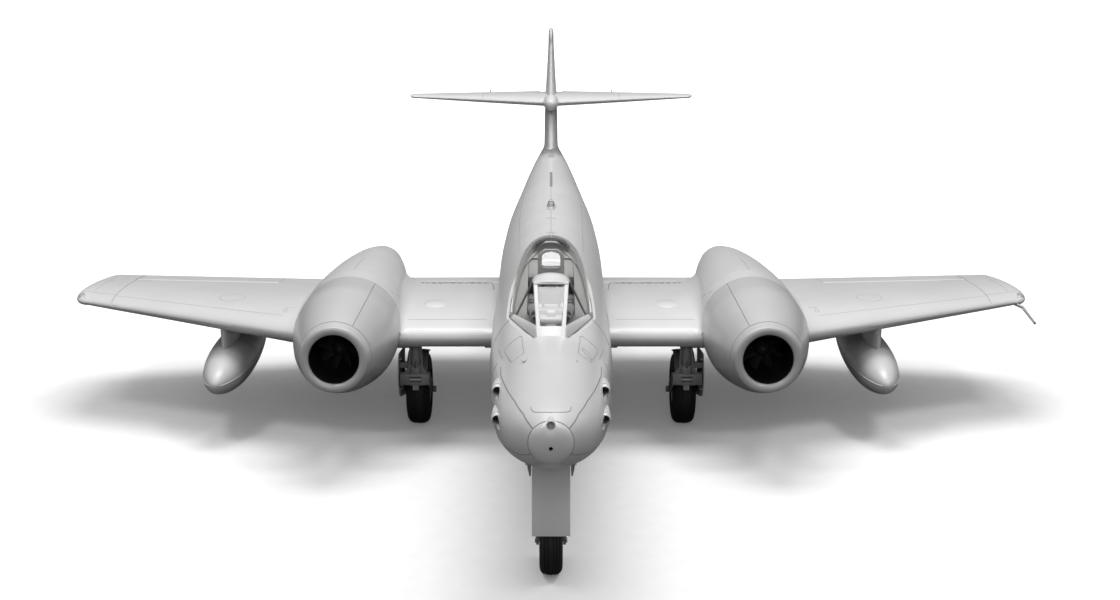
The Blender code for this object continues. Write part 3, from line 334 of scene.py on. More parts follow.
def surface(name, place, us, vs, grooves=(), depth=0.5, looks=("shell", "line"), sink_rows=None):
    """A skin over rows u and a closed ring v, with engraved grooves whose floors are dark.

    place(u, v, sink) gives a point; a groove is (axis, position, half width, low, high).
    """
    rows, ring = list(us), list(vs)
    for axis, position, half, low, high in grooves:
        own, other = (rows, ring) if axis == "u" else (ring, rows)
        lip, end = (0.25, 0.004) if axis == "u" else (half * 0.5, 0.6)
        own += [position - half - lip, position - half, position + half, position + half + lip]
        if low is not None:
            other += [low - end, low, high, high + end]
    rows = sorted({round(u, 5) for u in rows if us[0] <= u <= us[-1]})
    ring = sorted({round(v, 5) for v in ring if min(vs) <= v <= max(vs)})

    def sunk(u, v):
        for axis, position, half, low, high in grooves:
            own, other = (u, v) if axis == "u" else (v, u)
            if abs(own - position) <= half + 2e-5 and (low is None or low - 2e-5 <= other <= high + 2e-5):
                return True
        return False

    count = len(ring)
    points, down = [], []
    for u in rows:
        for v in ring:
            hollow = sunk(u, v)
            down.append(hollow)
            points.append(place(u, v, depth if hollow else 0.0))
    faces, marks = [], []
    for row in range(len(rows) - 1):
        for i in range(count):
            j = (i + 1) % count
            face = (row * count + i, row * count + j, (row + 1) * count + j, (row + 1) * count + i)
            faces.append(face)
            marks.append(1 if all(down[k] for k in face) else 0)
    if sink_rows:
        start = len(points)
        inner = list(reversed(sink_rows))
        for u, sink in inner:
            points += [place(u, v, sink) for v in ring]
        bands = [((len(rows) - 1) * count, start)]
        bands += [(start + k * count, start + (k + 1) * count) for k in range(len(inner) - 1)]
        bands += [(start + (len(inner) - 1) * count, 0)]
        for first, second in bands:
            for i in range(count):
                j = (i + 1) % count
                faces.append((first + i, first + j, second + j, second + i))
                marks.append(0)
    else:
        faces += [tuple(reversed(range(count))), tuple(range((len(rows) - 1) * count, len(rows) * count))]
        marks += [0, 0]
    return make_mesh(name, points, faces, looks, marks)


def box(name, xs, stations, heights, looks=("shell",), bevel=0.0):
    low = at(min(xs), min(stations), min(heights))
    high = at(max(xs), max(stations), max(heights))
    mesh = bpy.data.meshes.new(name)
    bm = bmesh.new()
    size = Matrix.Diagonal((*(high - low), 1.0))
    bmesh.ops.create_cube(bm, size=1.0, matrix=Matrix.Translation((low + high) / 2) @ size)
    if bevel:
        bmesh.ops.bevel(bm, geom=bm.edges[:], offset=bevel * MM, segments=2, profile=0.5, affect="EDGES")
    bm.to_mesh(mesh)
    bm.free()
    for look in looks:
        mesh.materials.append(LOOKS[look])
    return mesh


def prism(name, outline, shift, looks=("shell",), bevel=0.0):
    mesh = loft(name, [outline, [p + shift for p in outline]], looks)
    if bevel:
        bm = bmesh.new()
        bm.from_mesh(mesh)
        bmesh.ops.bevel(bm, geom=bm.edges[:], offset=bevel * MM, segments=2, profile=0.5, affect="EDGES",
                        clamp_overlap=True)
        bm.to_mesh(mesh)
        bm.free()
    return mesh


def side_prism(name, outline, x0, x1, looks=("shell",), bevel=0.0):
    ring = [at(x0, station, height) for station, height in outline]
    return prism(name, ring, Vector(((x1 - x0) * MM, 0, 0)), looks, bevel)


def turned(name, profile, place, looks=("shell",), segments=64, closed=False):
    """Turn (along, radius) pairs; place(along, across, up) puts them on an axis."""
    points, faces = [], []
    for along, radius in profile:
        for i in range(segments):
            angle = 2 * math.pi * (i + 0.5) / segments
            points.append(place(along, radius * math.sin(angle), radius * math.cos(angle)))
    spans = list(range(len(profile) - 1)) + ([len(profile) - 1] if closed else [])
    for row in spans:
        following = (row + 1) % len(profile)
        for i in range(segments):
            j = (i + 1) % segments
            faces.append((row * segments + i, row * segments + j, following * segments + j,
                          following * segments + i))
    if not closed:
        faces += [tuple(range(segments)),
                  tuple(range((len(profile) - 1) * segments, len(profile) * segments))]
    return make_mesh(name, points, faces, looks)


def along_y(x, height):
    return lambda along, across, up: at(x + across, along, height + up)


def along_x(station, height):
    return lambda along, across, up: at(along, station + across, height + up)


def on_nacelle(side):
    tilt = Matrix.Rotation(-math.atan(NACELLE_SLOPE), 3, "X")
    start = at(side * NACELLE_X, 0, NACELLE_Z)
    return lambda along, across, up: start + tilt @ (Vector((across, along, up)) * MM)


def rod(name, start, end, radius, looks=("shell",), segments=24, end_radius=None, bevel=0.0):
    along = end - start
    mesh = bpy.data.meshes.new(name)
    bm = bmesh.new()
    turn = along.to_track_quat("Z", "Y").to_matrix().to_4x4()
    bmesh.ops.create_cone(bm, cap_ends=True, segments=segments, depth=along.length,
                          matrix=Matrix.Translation((start + end) / 2) @ turn, radius1=radius * MM,
                          radius2=(radius if end_radius is None else end_radius) * MM)
    if bevel:
        rims = [e for e in bm.edges if any(len(f.verts) > 4 for f in e.link_faces)]
        bmesh.ops.bevel(bm, geom=rims, offset=bevel * MM, segments=2, profile=0.5, affect="EDGES")
    bm.to_mesh(mesh)
    bm.free()
    for look in looks:
        mesh.materials.append(LOOKS[look])
    return mesh


def tube(name, path, radius, looks=("shell",), sides=12, closed=False):
    """A round bar along a path of points."""
    rings = []
    count = len(path)
    for i, p in enumerate(path):
        before = path[(i - 1) % count] if closed or i else p
        after = path[(i + 1) % count] if closed or i < count - 1 else p
        heading = (after - before).normalized()
        side = heading.cross(Vector((0, 0, 1)))
        if side.length < 0.2:
            side = heading.cross(Vector((0, 1, 0)))
        side.normalize()
        over = side.cross(heading)
        ring = []
        for k in range(sides):
            angle = 2 * math.pi * k / sides
            ring.append(p + (side * math.cos(angle) + over * math.sin(angle)) * radius * MM)
        rings.append(ring)
    return loft(name, rings, looks, loop=closed)


def carve(mesh, *tools, operation="DIFFERENCE"):
    """The mesh after Boolean work with the tool meshes."""
    base = bpy.data.objects.new("carve_base", mesh)
    bpy.context.scene.collection.objects.link(base)
    helpers = []
    for tool in tools:
        helper = bpy.data.objects.new("carve_tool", tool)
        bpy.context.scene.collection.objects.link(helper)
        modifier = base.modifiers.new("carve", "BOOLEAN")
        modifier.operation = operation
        modifier.solver = "EXACT"
        modifier.object = helper
        helpers.append(helper)
    result = bpy.data.meshes.new_from_object(base.evaluated_get(bpy.context.evaluated_depsgraph_get()))
    result.name = mesh.name
    for item in [base, *helpers]:
        bpy.data.objects.remove(item, do_unlink=True)
    return result


def joined(name, meshes):
    """One mesh from several; each keeps its looks."""
    looks = []
    bm = bmesh.new()
    for mesh in meshes:
        offsets = []
        for material in mesh.materials:
            if material not in looks:
                looks.append(material)
            offsets.append(looks.index(material))
        before = len(bm.faces)
        bm.from_mesh(mesh)
        bm.faces.ensure_lookup_table()
        for index in range(before, len(bm.faces)):
            face = bm.faces[index]
            face.material_index = offsets[min(face.material_index, len(offsets) - 1)]
    result = bpy.data.meshes.new(name)
    bm.to_mesh(result)
    bm.free()
    for material in looks:
        result.materials.append(material)
    return result


def add(name, mesh, body="airframe", stands_for=(), crease=32.0):
    item = bpy.data.objects.new(name, mesh)
    bpy.context.scene.collection.objects.link(item)
    mesh.shade_smooth()
    mesh.set_sharp_from_angle(angle=math.radians(crease))
    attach(item, body)
    if stands_for:
        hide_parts(*stands_for)
    return item


LINES = []


def line(points, normals, width=0.8, closed=False, look="seam"):
    """Keep a panel line; all lines become one piece at the end."""
    rings = []
    count = len(points)
    for i, (p, n) in enumerate(zip(points, normals)):
        before = points[(i - 1) % count] if closed or i else p
        after = points[(i + 1) % count] if closed or i < count - 1 else p
        across = (after - before).cross(n).normalized() * (width / 2 * MM)
        rings.append([p + across - n * LINE_DEPTH, p + across + n * LINE_LIFT,
                      p - across + n * LINE_LIFT, p - across - n * LINE_DEPTH])
    LINES.append(loft("line", rings, (look,), loop=closed))


def finish_lines():
    name = "panel_lines_airframe"
    add(name, joined(name, LINES), crease=60)


# ---------------------------------------------------------------- fuselage

def hull_size(station):
    return [smooth_value([(row[0], row[column]) for row in FUSELAGE], station) for column in (1, 2, 3)]


def hull(station, angle, sink=0.0):
    half_width, top, bottom = hull_size(station)
    middle, half = (top + bottom) / 2, (top - bottom) / 2
    return at((half_width - sink) * math.sin(angle), station, middle + (half - sink) * math.cos(angle))


def hull_normal(station, angle):
    along = hull(station + 1, angle) - hull(station - 1, angle)
    around = hull(station, angle + 0.01) - hull(station, angle - 0.01)
    return around.cross(along).normalized() * -1


def hull_angle(station, x):
    return math.asin(max(-1.0, min(1.0, x / hull_size(station)[0])))


def hull_line(path, **options):
    """A panel line through (station, angle) pairs on the hull."""
    spots = []
    for first, second in zip(path, path[1:]):
        count = max(2, int(abs(second[0] - first[0]) / 8) + int(abs(second[1] - first[1]) / 0.08))
        for i in range(count):
            t = i / count
            spots.append((mix(first[0], second[0], t), mix(first[1], second[1], t)))
    if not options.get("closed"):
        spots.append(path[-1][:2])
    line([hull(*s) for s in spots], [hull_normal(*s) for s in spots], **options)


def by_x(station, x):
    return station, hull_angle(station, x)


RING = [2 * math.pi * i / 112 for i in range(112)]


def deck_height(station):
    return 250.0 + max(0.0, station - 385) * 0.149


def build_fuselage():
    profile = []
    for index in range(17):
        turn = math.radians(90) * index / 16
        profile.append((13.75 * (1 - math.cos(turn)), 23.35 * math.sin(turn)))
    profile[0] = (0.0, 0.05)
    profile += [(13.75, 20.8), (9.0, 17.6), (5.0, 11.0), (4.2, 0.1)]
    cap = turned("nose_cap_skin", profile, along_y(0, NOSE_HEIGHT), segments=72)
    tip_port = turned("tip_port", [(-4, 2.2), (9, 2.2)], along_y(-0.2, NOSE_HEIGHT - 1.6), ("gear",), 24)
    gun_port = turned("camera_port", [(-4, 4.1), (24.5, 4.1)], along_y(-0.2, 239.9), ("seam",), 32)
    add("nose_cap_skin", carve(cap, tip_port, gun_port), stands_for=("nose_cap",))
    well = [(12.6, 0.1), (12.2, 2.2), (10.6, 3.9), (7.2, 4.05), (7.2, 4.6), (24.5, 4.6), (24.5, 0.1)]
    add("camera_port_liner", turned("camera_port_liner", well, along_y(-0.2, 239.9), ("shell",), 36))
    lens = [(11.6, 0.05), (11.8, 0.9), (12.4, 1.2), (18.0, 1.2)]
    add("camera_lens", turned("camera_lens", lens, along_y(-0.2, 241.6), ("line",), 24))

    stations = [14.1, 16, 18, 21, 25, 30, 36] + steps(42, 280, 34) + steps(288, 390, 14) + steps(400, 640,
                                                                                                 20)
    ring_lines = [("u", 285.0, 0.35, 1.25, 2 * math.pi - 1.25)]
    front = surface("fuselage_front_skin", hull, stations, RING, ring_lines,
                    sink_rows=[(s, SKIN) for s in (14.1, 45, 90, 150, 220, 285, 335, 385, 440, 540, 640)])
    above = [(290, 254.5), (292, 250), (385, 250), (660, deck_height(660)), (660, 335), (290, 335)]
    reach = (-NOSE_BAY_HALF_WIDTH, NOSE_BAY_HALF_WIDTH)
    nose_bay = box("nose_bay", reach, NOSE_BAY_STATIONS, (90, 150))
    troughs = []
    for side, _ in SIDES:
        for x, station, height in CANNON_PORTS:
            place = along_y(side * x, height)
            troughs.append(turned("trough",
                                  [(station - 34, 2.2), (station - 20, 4.6), (station + 20, 4.6)], place,
                                  ("shell",), 28))
    front_port = turned("camera_port", [(-4, 4.4), (24.5, 4.4)], along_y(-0.2, 239.9), ("seam",), 32)
    front = carve(front, side_prism("above", above, -70, 70), nose_bay, front_port, *troughs)
    add("fuselage_front_skin", front, stands_for=("fuselage_front",))

    stations = steps(640.2, 1100, 46) + steps(1110, 1592, 40)
    ring_lines = [("u", s, 0.35, None, None) for s in (750.0, 845.0, 1000.0, 1120.0, 1330.0, 1470.0)]
    rear = surface("fuselage_rear_skin", hull, stations, RING, ring_lines, depth=0.4,
                   looks=("shell", "seam"),
                   sink_rows=[(s, SKIN) for s in (640.2, 760, 880, 1000, 1120, 1240, 1360, 1480, 1570)]
                   + [(1586, 6.0)])
    cuts = [box("side_opening", (side * 50, side * 95), (663, 779), (60, MAIN_BAY_ROOF)) for side,
            _ in SIDES]
    cuts.append(box("hatch_opening", (-26.3, 26.3), (789.7, 870.3), (80, 110)))
    cuts.append(box("spine_slot", (-1.9, 2.3), (1052, 1190), (287.9, 300)))
    rear = carve(rear, *cuts)
    add("fuselage_rear_skin", rear, stands_for=("fuselage_rear",))
    add("spine_slot_floor", box("spine_slot_floor", (-1.9, 2.3), (1052, 1190), (287.4, 288.2), ("line",)))
    tail_ring = [hull(1592, a) for a in RING]
    dome = [tail_ring]
    for k in range(1, 7):
        t = k / 7
        size = math.sqrt(1 - t * t)
        centre = at(0, 1592 + 9 * t, 265.5)
        dome.append([centre + (p - at(0, 1592, 265.5)) * size for p in tail_ring])
    add("tail_cone_end", loft("tail_cone_end", dome))
    tail_light = [(1598, 5.0), (1600, 4.9), (1603, 3.6), (1604.6, 0.05)]
    add("tail_lamp", turned("tail_lamp", tail_light, along_y(0, 263), ("lamp",), 28))

    hatch = box("belly_hatch_plate", (-26, 26), (790, 870), (97, 107), bevel=0.4)
    add("belly_hatch_plate", hatch, stands_for=("belly_hatch",))


def hull_spot(x, station):
    angle = hull_angle(station, x)
    return hull(station, angle), hull_normal(station, angle)


def build_fuselage_lines():
    for side in (-1, 1):
        edge = [(14.2, 0.881), (44, 0.746), (87, 0.756), (135.6, 0.854), (175, 0.913), (226, 0.985),
                (262, 0.975)]
        hull_line([(s, side * a) for s, a in edge], width=1.0, look="line")
        quad = [(309, 0.497), (243, 0.464), (235.7, 0.700), (240, 0.722), (303, 0.862), (309, 0.84),
                (312, 0.53),
                (309, 0.497)]
        hull_line([(s, side * a) for s, a in quad], width=0.8)
        shoulder = [(368, 0.73), (369.5, 0.895), (371, 1.05), (372, 1.226)]
        hull_line([(s, side * a) for s, a in shoulder], width=0.9)
        hull_line([(330, side * 1.02), (288, side * 0.92)], width=0.8)
        low = [(14.8, 2.12), (24, 2.16), (38, 2.14), (64, 2.01), (110, 1.93), (170, 1.9)]
        hull_line([(s, side * a) for s, a in low], width=0.8)
        for path in ([(170, 1.9), (170, 1.35)], [(300, 1.08), (300, 2.2)], [(385, 1.30), (640, 1.18)],
                     [(385, 1.30), (385, 2.4)], [(510, 1.24), (510, 2.5)],
                     [(662, 0.62), (1000, 0.70), (1330, 0.78)]):
            hull_line([(s, side * a) for s, a in path], width=0.8)
    oval = []
    for k in range(24):
        turn = 2 * math.pi * k / 24
        oval.append(by_x(261 + 13 * math.sin(turn), 41.7 + 3.6 * math.cos(turn) - 4.2 * math.sin(turn)))
    hull_line(oval, width=0.8, closed=True)
    hull_line([(14.6, a) for a in steps(0.24, 2 * math.pi - 0.24, 90)], width=0.8)
    small = [(52, -20.9), (46, -20.4), (40, -19.0), (35.8, -15.5), (32.2, -9), (30.3, 0), (32.2, 9),
             (35.8, 15.5),
             (40, 19.0), (46, 20.4), (52, 20.9)]
    hull_line([by_x(s, x) for s, x in small], width=0.9)
    hull_line([(206, 0.448), (213, 0.448)], width=1.4)
    tear = blister("tear", hull_spot, -29.4, 213, 2.4, 8.0, 1.2, tail=6)
    add("nose_teardrop", tear)
    for x in (-1.9, 1.9):
        hull_line([by_x(650, x), by_x(705, x)], width=0.7)
    hull_line([by_x(706, -7.2), by_x(706, 7.2)], width=1.0, look="line")
    hull_line([by_x(803, -7.2), by_x(803, 7.2)], width=1.0, look="line")
    hull_line([(708, 0.0), (858, 0.0)], width=0.7)
    hull_line([(945, 0.0), (1050, 0.0)], width=0.7)
    for side in (-1, 1):
        line([at(side * 26.0, s, 96.97) for s in (790, 870)], [Vector((0, 0, -1))] * 2, look="line")
        line([at(side * 20, 830 + side * 32, 97), at(side * 20, 830 + side * 33, 97)],
             [Vector((0, 0, -1))] * 2, width=2.4, look="line")


def build_cannons():
    """A raised tube with a pointed fairing aft of it around each gun port."""
    for side, label in SIDES:
        for level, (x, station, height) in enumerate(CANNON_PORTS):
            rings = []
            for t in steps(0.0, 1.0, 14):
                s = station + 3 + 44 * t
                drift = (hull(s, hull_angle_at(s, height, side)).x / MM - side * (x + 1.6)) * t
                size = 6.9 * max(0.0, 1 - t**1.5) ** 0.8 + 0.05
                centre = at(side * (x + 1.6) + drift, s, height)
                rings.append([centre + Vector((math.sin(a), 0, math.cos(a) * 1.05)) * size * MM
                              for a in steps(0, 2 * math.pi, 28)[:-1]])
            shell = loft("fairing", rings)
            lip = turned("lip",
                         [(station - 2.4, 4.7), (station - 3.4, 5.4), (station - 2.0, 6.4),
                          (station + 4, 6.9),
                                 (station + 4, 4.7)], along_y(side * (x + 1.6), height), closed=True,
                         segments=36)
            bore = turned("bore", [(station - 8, 4.7), (station + 22, 4.7)],
                          along_y(side * (x + 1.6), height),
                          ("black",), 28)
            shell = carve(shell, bore)
            barrel = turned("barrel", [(station + 2, 1.4), (station + 2, 2.4), (station + 18, 2.4),
                                       (station + 18, 1.4)], along_y(side * (x + 1.6), height), ("fan",),
                            20,
                            closed=True)
            plug = turned("plug", [(station + 8, 4.75), (station + 19, 4.75)],
                          along_y(side * (x + 1.6), height),
                          ("black",), 20)
            name = f"gun_port_{'upper' if level == 0 else 'lower'}_{label}"
            add(name, joined(name, [shell, lip, barrel, plug]))


def hull_angle_at(station, height, side):
    _, top, bottom = hull_size(station)
    middle, half = (top + bottom) / 2, (top - bottom) / 2
    return side * math.acos(max(-1.0, min(1.0, (height - middle) / half)))


def build_spine():
    """The clear lens and the small fittings along the top of the rear fuselage."""
    rings = []
    for t in steps(0.0, 1.0, 14):
        s = mix(862, 938, t)
        width = 7.6 * math.sin(math.pi * min(1.0, 0.10 + t * 0.90)) ** 0.55 * (1 - 0.35 * t)
        tall = 11.5 * math.sin(math.pi * min(1.0, 0.14 + t * 0.86)) ** 0.6 * (1 - 0.25 * t)
        rings.append([at(max(width, 0.2) * math.sin(a), s,
                         288.8 + max(tall, 0.2) * max(0.0, math.cos(a)) - 0.6
                         * (1 if math.cos(a) <= 0 else 0)) for a in steps(0, 2 * math.pi, 28)[:-1]])
    add("spine_lens", loft("spine_lens", rings, ("glass",)))
    loop = [at(4.0 * math.sin(a), 893, 293.5 + 4.0 * math.cos(a)) for a in steps(0, 2 * math.pi, 20)[:-1]]
    add("spine_loop", tube("spine_loop", loop, 0.7, ("steel",), closed=True))
    base = turned("spine_base", [(287.5, 6.5), (290.4, 6.3), (290.8, 5.2), (290.8, 0.1)],
                  lambda along, across, up: at(across, 897 + up * 1.9, along), ("seam",), 32)
    add("spine_base", base)


# ---------------------------------------------------------------- lifting surfaces

def tip(panel, end, middle):
    """The panel's sections followed by a rounded tip that ends at the span position end."""
    span, leading, trailing, height, ratio = panel[-1]
    rise = (panel[-1][3] - panel[-2][3]) / (panel[-1][0] - panel[-2][0])
    rows = list(panel)
    for k in range(1, TIP_ROWS + 1):
        t = math.sin(math.pi / 2 * k / (TIP_ROWS + 0.35))
        size = (1 - t**2.6) ** (1 / 2.6)
        reach = (end - span) * t
        rows.append((span + reach, middle - (middle - leading) * size, middle + (trailing - middle) * size,
                     height + rise * reach, ratio * math.sqrt(1 - t**4) / size))
    return tuple(rows)


OUTER_WING = tip(WING_PANEL, 708.0, 812.0)
TAILPLANE = tip(TAIL_PANEL, 269.5, 1546.0)
FIN = tip(FIN_PANEL, 502.0, 1632.0)


def section_at(sections, span):
    for inner, outer in zip(sections, sections[1:]):
        if span <= outer[0]:
            break
    t = (span - inner[0]) / (outer[0] - inner[0])
    return [mix(a, b, t) for a, b in zip(inner[1:], outer[1:])]


def offsets(sections, span, u, grow=0.0):
    leading, trailing, height, ratio = section_at(sections, span)
    chord = trailing - leading
    u = max(0.0, min(1.0, u))
    shape = 0.2969 * math.sqrt(u) - 0.1260 * u - 0.3516 * u**2 + 0.2843 * u**3 - 0.1036 * u**4
    half = 5 * ratio * chord * shape + EDGE * u + grow
    drop = DROP_RATIO * chord * u if 0 < height < 300 else 0.0
    return leading + chord * u, height - drop, half


def wing_place(side):
    return lambda span, station, height: at(side * span, station, height)


def fin_place(span, station, height):
    return at(height, station, span)


CHORD = [(1 - math.cos(math.pi * i / 30)) / 2 for i in range(31)]
CHORD_RING = sorted([-u for u in CHORD[1:]] + CHORD)


def panel(name, sections, place, spans, grooves):
    def spot(span, v, sink):
        station, middle, half = offsets(sections, span, abs(v), -sink if 0 < abs(v) else 0.0)
        return place(span, station, middle + math.copysign(max(half, 0.0), v))
    return surface(name, spot, spans, CHORD_RING, grooves, PANEL_GROOVE, ("shell", "seam"))


def control_frame(sections, span, hinge):
    leading, trailing, _, _ = section_at(sections, span)
    fraction = (hinge - leading) / (trailing - leading)
    _, middle, radius = offsets(sections, span, fraction)
    return fraction, middle, radius


def control_ring(sections, span, hinge, place):
    fraction, middle, radius = control_frame(sections, span, hinge)
    ring = []
    for u in steps(1.0, fraction, 10):
        station, mid, half = offsets(sections, span, u)
        ring.append(place(span, station, mid + half))
    for index in range(1, 14):
        angle = math.pi * index / 14
        ring.append(place(span, hinge - radius * math.sin(angle), middle + radius * math.cos(angle)))
    for u in steps(fraction, 1.0, 10):
        station, mid, half = offsets(sections, span, u)
        ring.append(place(span, station, mid - half))
    return ring


def control(name, sections, spans, hinges, place, body, node):
    rings = []
    for t in [0.0] + steps(0.004, 0.996, 24) + [1.0]:
        s = mix(*spans, t)
        ring = control_ring(sections, s, mix(*hinges, t), place)
        if t in (0.0, 1.0):
            centre = sum(ring, Vector()) / len(ring)
            ring = [p + (centre - p).normalized() * END_ROUNDING for p in ring]
        rings.append(ring)
    return add(name, loft(name, rings), body, (node,), crease=40)


def bay_cutter(sections, spans, hinges, place):
    front = []
    for span, hinge, outward in zip(spans, hinges, (-1, 1)):
        radius = control_frame(sections, span, hinge)[2]
        front.append((span + outward * CONTROL_END_GAP, hinge - radius - CONTROL_GAP))
    outline = front + [(span, station + 300) for span, station in reversed(front)]
    middle = sections[0][3]
    return loft("bay", [[place(span, station, middle + reach) for span, station in outline]
                        for reach in (-80, 80)])


def wing_spot(sections, side, upper=True):
    """A function from (x, station) to a point on the wing and its normal."""
    def spot(x, station):
        def raw(px, ps):
            leading, trailing, _, _ = section_at(sections, abs(px))
            u = (ps - leading) / (trailing - leading)
            _, middle, half = offsets(sections, abs(px), u)
            return at(side * abs(px), ps, middle + (half if upper else -half))
        p = raw(x, station)
        along = raw(x, station + 1) - raw(x, station - 1)
        across = raw(abs(x) + 0.5, station) - raw(abs(x) - 0.5, station)
        n = across.cross(along).normalized()
        if (n.z < 0) == upper:
            n.negate()
        return p, n
    return spot


def spot_line(spot, path, **options):
    places = []
    for first, second in zip(path, path[1:]):
        count = max(1, int(math.dist(first, second) / 6))
        places += [(mix(first[0], second[0], i / count), mix(first[1], second[1], i / count))
                   for i in range(count)]
    if not options.get("closed"):
        places.append(path[-1])
    pairs = [spot(*p) for p in places]
    line([p for p, _ in pairs], [n for _, n in pairs], **options)


def oval_path(x, station, across, along, count=32):
    return [(x + across * math.cos(2 * math.pi * k / count),
             station + along * math.sin(2 * math.pi * k / count))
            for k in range(count)] + [(x + across, station)]


def blister(name, spot, x, station, across, along, height, look="shell", tail=0.0):
    """A low rounded bump on a surface, drawn out aft by tail."""
    rings = []
    for radius in steps(1.0, 0.0, 12):
        ring = []
        for k in range(40):
            turn = 2 * math.pi * k / 40
            stretch = along + (tail if math.sin(turn) > 0 else 0.0)
            p, n = spot(x + across * radius * math.cos(turn), station + stretch * radius * math.sin(turn))
            ring.append(p + n * (height * (1 - radius**2) ** 0.9 - (0.5 if radius == 1.0 else 0.0)) * MM)
        rings.append(ring)
    rings[-1] = [sum(rings[-1], Vector()) / 40 + (p - sum(rings[-1], Vector()) / 40) for p in rings[-1]]
    rings.append([rings[0][k] - spot(x, station)[1] * 0.0012 for k in range(40)])
    return loft(name, rings[-1:] + rings[:-1], (look,))


def build_wing(side, label):
    place = wing_place(side)
    hull_space = loft("hull_space", [[hull(s, a, -0.3) for a in RING[::2]] for s in steps(560, 1160, 30)])

    spans = steps(30, 286, 20)
    lines = [("v", -0.18, 0.0011, 85, 214)]
    centre = panel("wing_centre_skin_" + label, CENTRE_WING, place, spans, lines)
    folded_x = side * MAIN_WHEEL_FOLDED_X
    well = turned("well", [(60, 60.0), (MAIN_BAY_ROOF, 60.0)],
                  lambda along, across, up: at(folded_x + across, MAIN_WHEEL_STATION + up, along),
                  ("bay",), 64)
    slot = box("slot", (side * 94, side * 203), (651, 702), (60, MAIN_BAY_ROOF), ("bay",))
    hub_ends = [at(side * MAIN_HUB_FOLDED_X, MAIN_WHEEL_STATION, z) for z in (150, 163.4)]
    hub_pocket = rod("hub_pocket", *hub_ends, 6.2, ("bay",))
    brake_slot = side_prism("brake_slot", brake_outline(1.0, -3.0, 2.0), side * 98.5, side * 212.5,
                            ("line",))
    centre = carve(centre, hull_space, pod_space(side),
                   bay_cutter(CENTRE_WING, FLAP_SPAN, FLAP_HINGES, place),
                   brake_slot, well, slot, hub_pocket)
    add("wing_centre_skin_" + label, centre, stands_for=("wing_centre_" + label,))
    control("flap_skin_" + label, CENTRE_WING, FLAP_SPAN, FLAP_HINGES, place, "flap_" + label,
            "flap_" + label)

    spans = [286, 300, 330, 358] + steps(375, 660, 30) + [672] + [row[0] for row in OUTER_WING[3:]]
    lines = [("v", -0.165, 0.0013, 365, 650), ("u", 650, 0.4, -0.66, -0.05), ("u", 432, 0.4, -0.74, -0.165)]
    outer = panel("wing_outer_skin_" + label, OUTER_WING, place, spans, lines)
    outer = carve(outer, pod_space(side), bay_cutter(OUTER_WING, AILERON_SPAN, AILERON_HINGES, place))
    add("wing_outer_skin_" + label, outer, stands_for=("wing_outer_" + label,))
    control("aileron_skin_" + label, OUTER_WING, AILERON_SPAN, AILERON_HINGES, place, "aileron_" + label,
            "aileron_" + label)

    top = wing_spot(OUTER_WING, side)
    below = wing_spot(OUTER_WING, side, upper=False)
    for path, width in (
            (oval_path(473, 779, 18.5, 23), 0.8), (oval_path(384, 712, 2.6, 8, 16), 0.8),
            ([(374, 726), (386, 726)], 0.7), ([(385, 691.5), (646.5, 777.5)], 0.8),
            ([(646.5, 781), (696, 797)], 0.8)):
        spot_line(top, path, width=width)
    spot_line(top, [(646.5, 752), (646.5, 902)], width=0.9, look="line")
    for path, width in (
            ([(612, 893), (612, 902), (640, 907), (640, 898), (626, 895)], 0.8),
            ([(676, 870), (682, 872)], 0.9), ([(676, 884), (682, 886)], 0.9),
            ([(684, 800), (684, 925)], 0.7)):
        spot_line(top, path, width=width)
    for path, width in ((oval_path(473, 860, 18, 23), 0.8), ([(560, 730), (560, 905)], 0.7),
                        ([(400, 720), (400, 1000)], 0.7)):
        spot_line(below, path, width=width)
    middle = wing_spot(CENTRE_WING, side)
    under = wing_spot(CENTRE_WING, side, upper=False)
    spot_line(middle, [(92, 680.4), (206, 680.4)], width=0.9)
    spot_line(middle, [(208, 648), (207, 690), (206, 770), (209, 830), (214, 900), (218, 960)], width=0.9)
    spot_line(middle, [(101, 969), (96, 965), (91.5, 930), (88.5, 880), (87, 826)], width=1.7, look="line")
    spot_line(middle, [(100, 958.6), (212, 958.6)], width=0.7)
    for k in range(12):
        x = mix(104, 208, k / 11)
        half = 3.7 if k % 4 else 2.6
        spot_line(middle, [(x - half, 961.5), (x + half, 961.5)], width=1.4, look="line")
        spot_line(middle, [(x - half, 966.5), (x + half, 966.5)], width=1.1, look="line")
        spot_line(middle, [(x - half, 961.5), (x - half, 966.5)], width=1.0, look="line")
    spot_line(under, [(84, 800), (84, 955)], width=0.8)
    spot_line(under, [(90, 870), (225, 870)], width=0.8)
    add("wing_blister_" + label, blister("wing_blister", middle, 170, 752, 17.5, 20, 2.6, tail=10))
    build_airbrake(side, label)
    build_fillets(side, label)


def brake_outline(margin, top, bottom):
    upper = []
    for station in (932 - margin, 958 + margin):
        _, middle, half = offsets(CENTRE_WING, 100, (station - 641) / 429)
        upper.append((station, middle + half))
    return [(s, h - top) for s, h in upper] + [(s, h - bottom) for s, h in reversed(upper)]


def build_airbrake(side, label):
    """A thin plate with a row of raised slats near its aft edge."""
    plate = side_prism("plate", brake_outline(0.0, 0.1, 1.4), side * 99, side * 212)
    parts = [plate]
    spot = wing_spot(CENTRE_WING, side)
    for k in range(11):
        x = mix(105, 206, k / 10)
        corners = [spot(x + dx, s)[0] for dx, s in ((-3.6, 948), (3.6, 948), (3.6, 956.5), (-3.6, 956.5))]
        inner = [p - Vector((0, 0, 0.0006)) for p in corners]
        parts.append(prism("slat", inner, Vector((0, 0, 0.0013)), ("line" if k % 3 else "seam",)))
    name = "airbrake_plate_" + label
    add(name, joined(name, parts), "airbrake_" + label, ("airbrake_" + label,))


def nacelle_radius(station):
    return smooth_value(list(NACELLE), station)


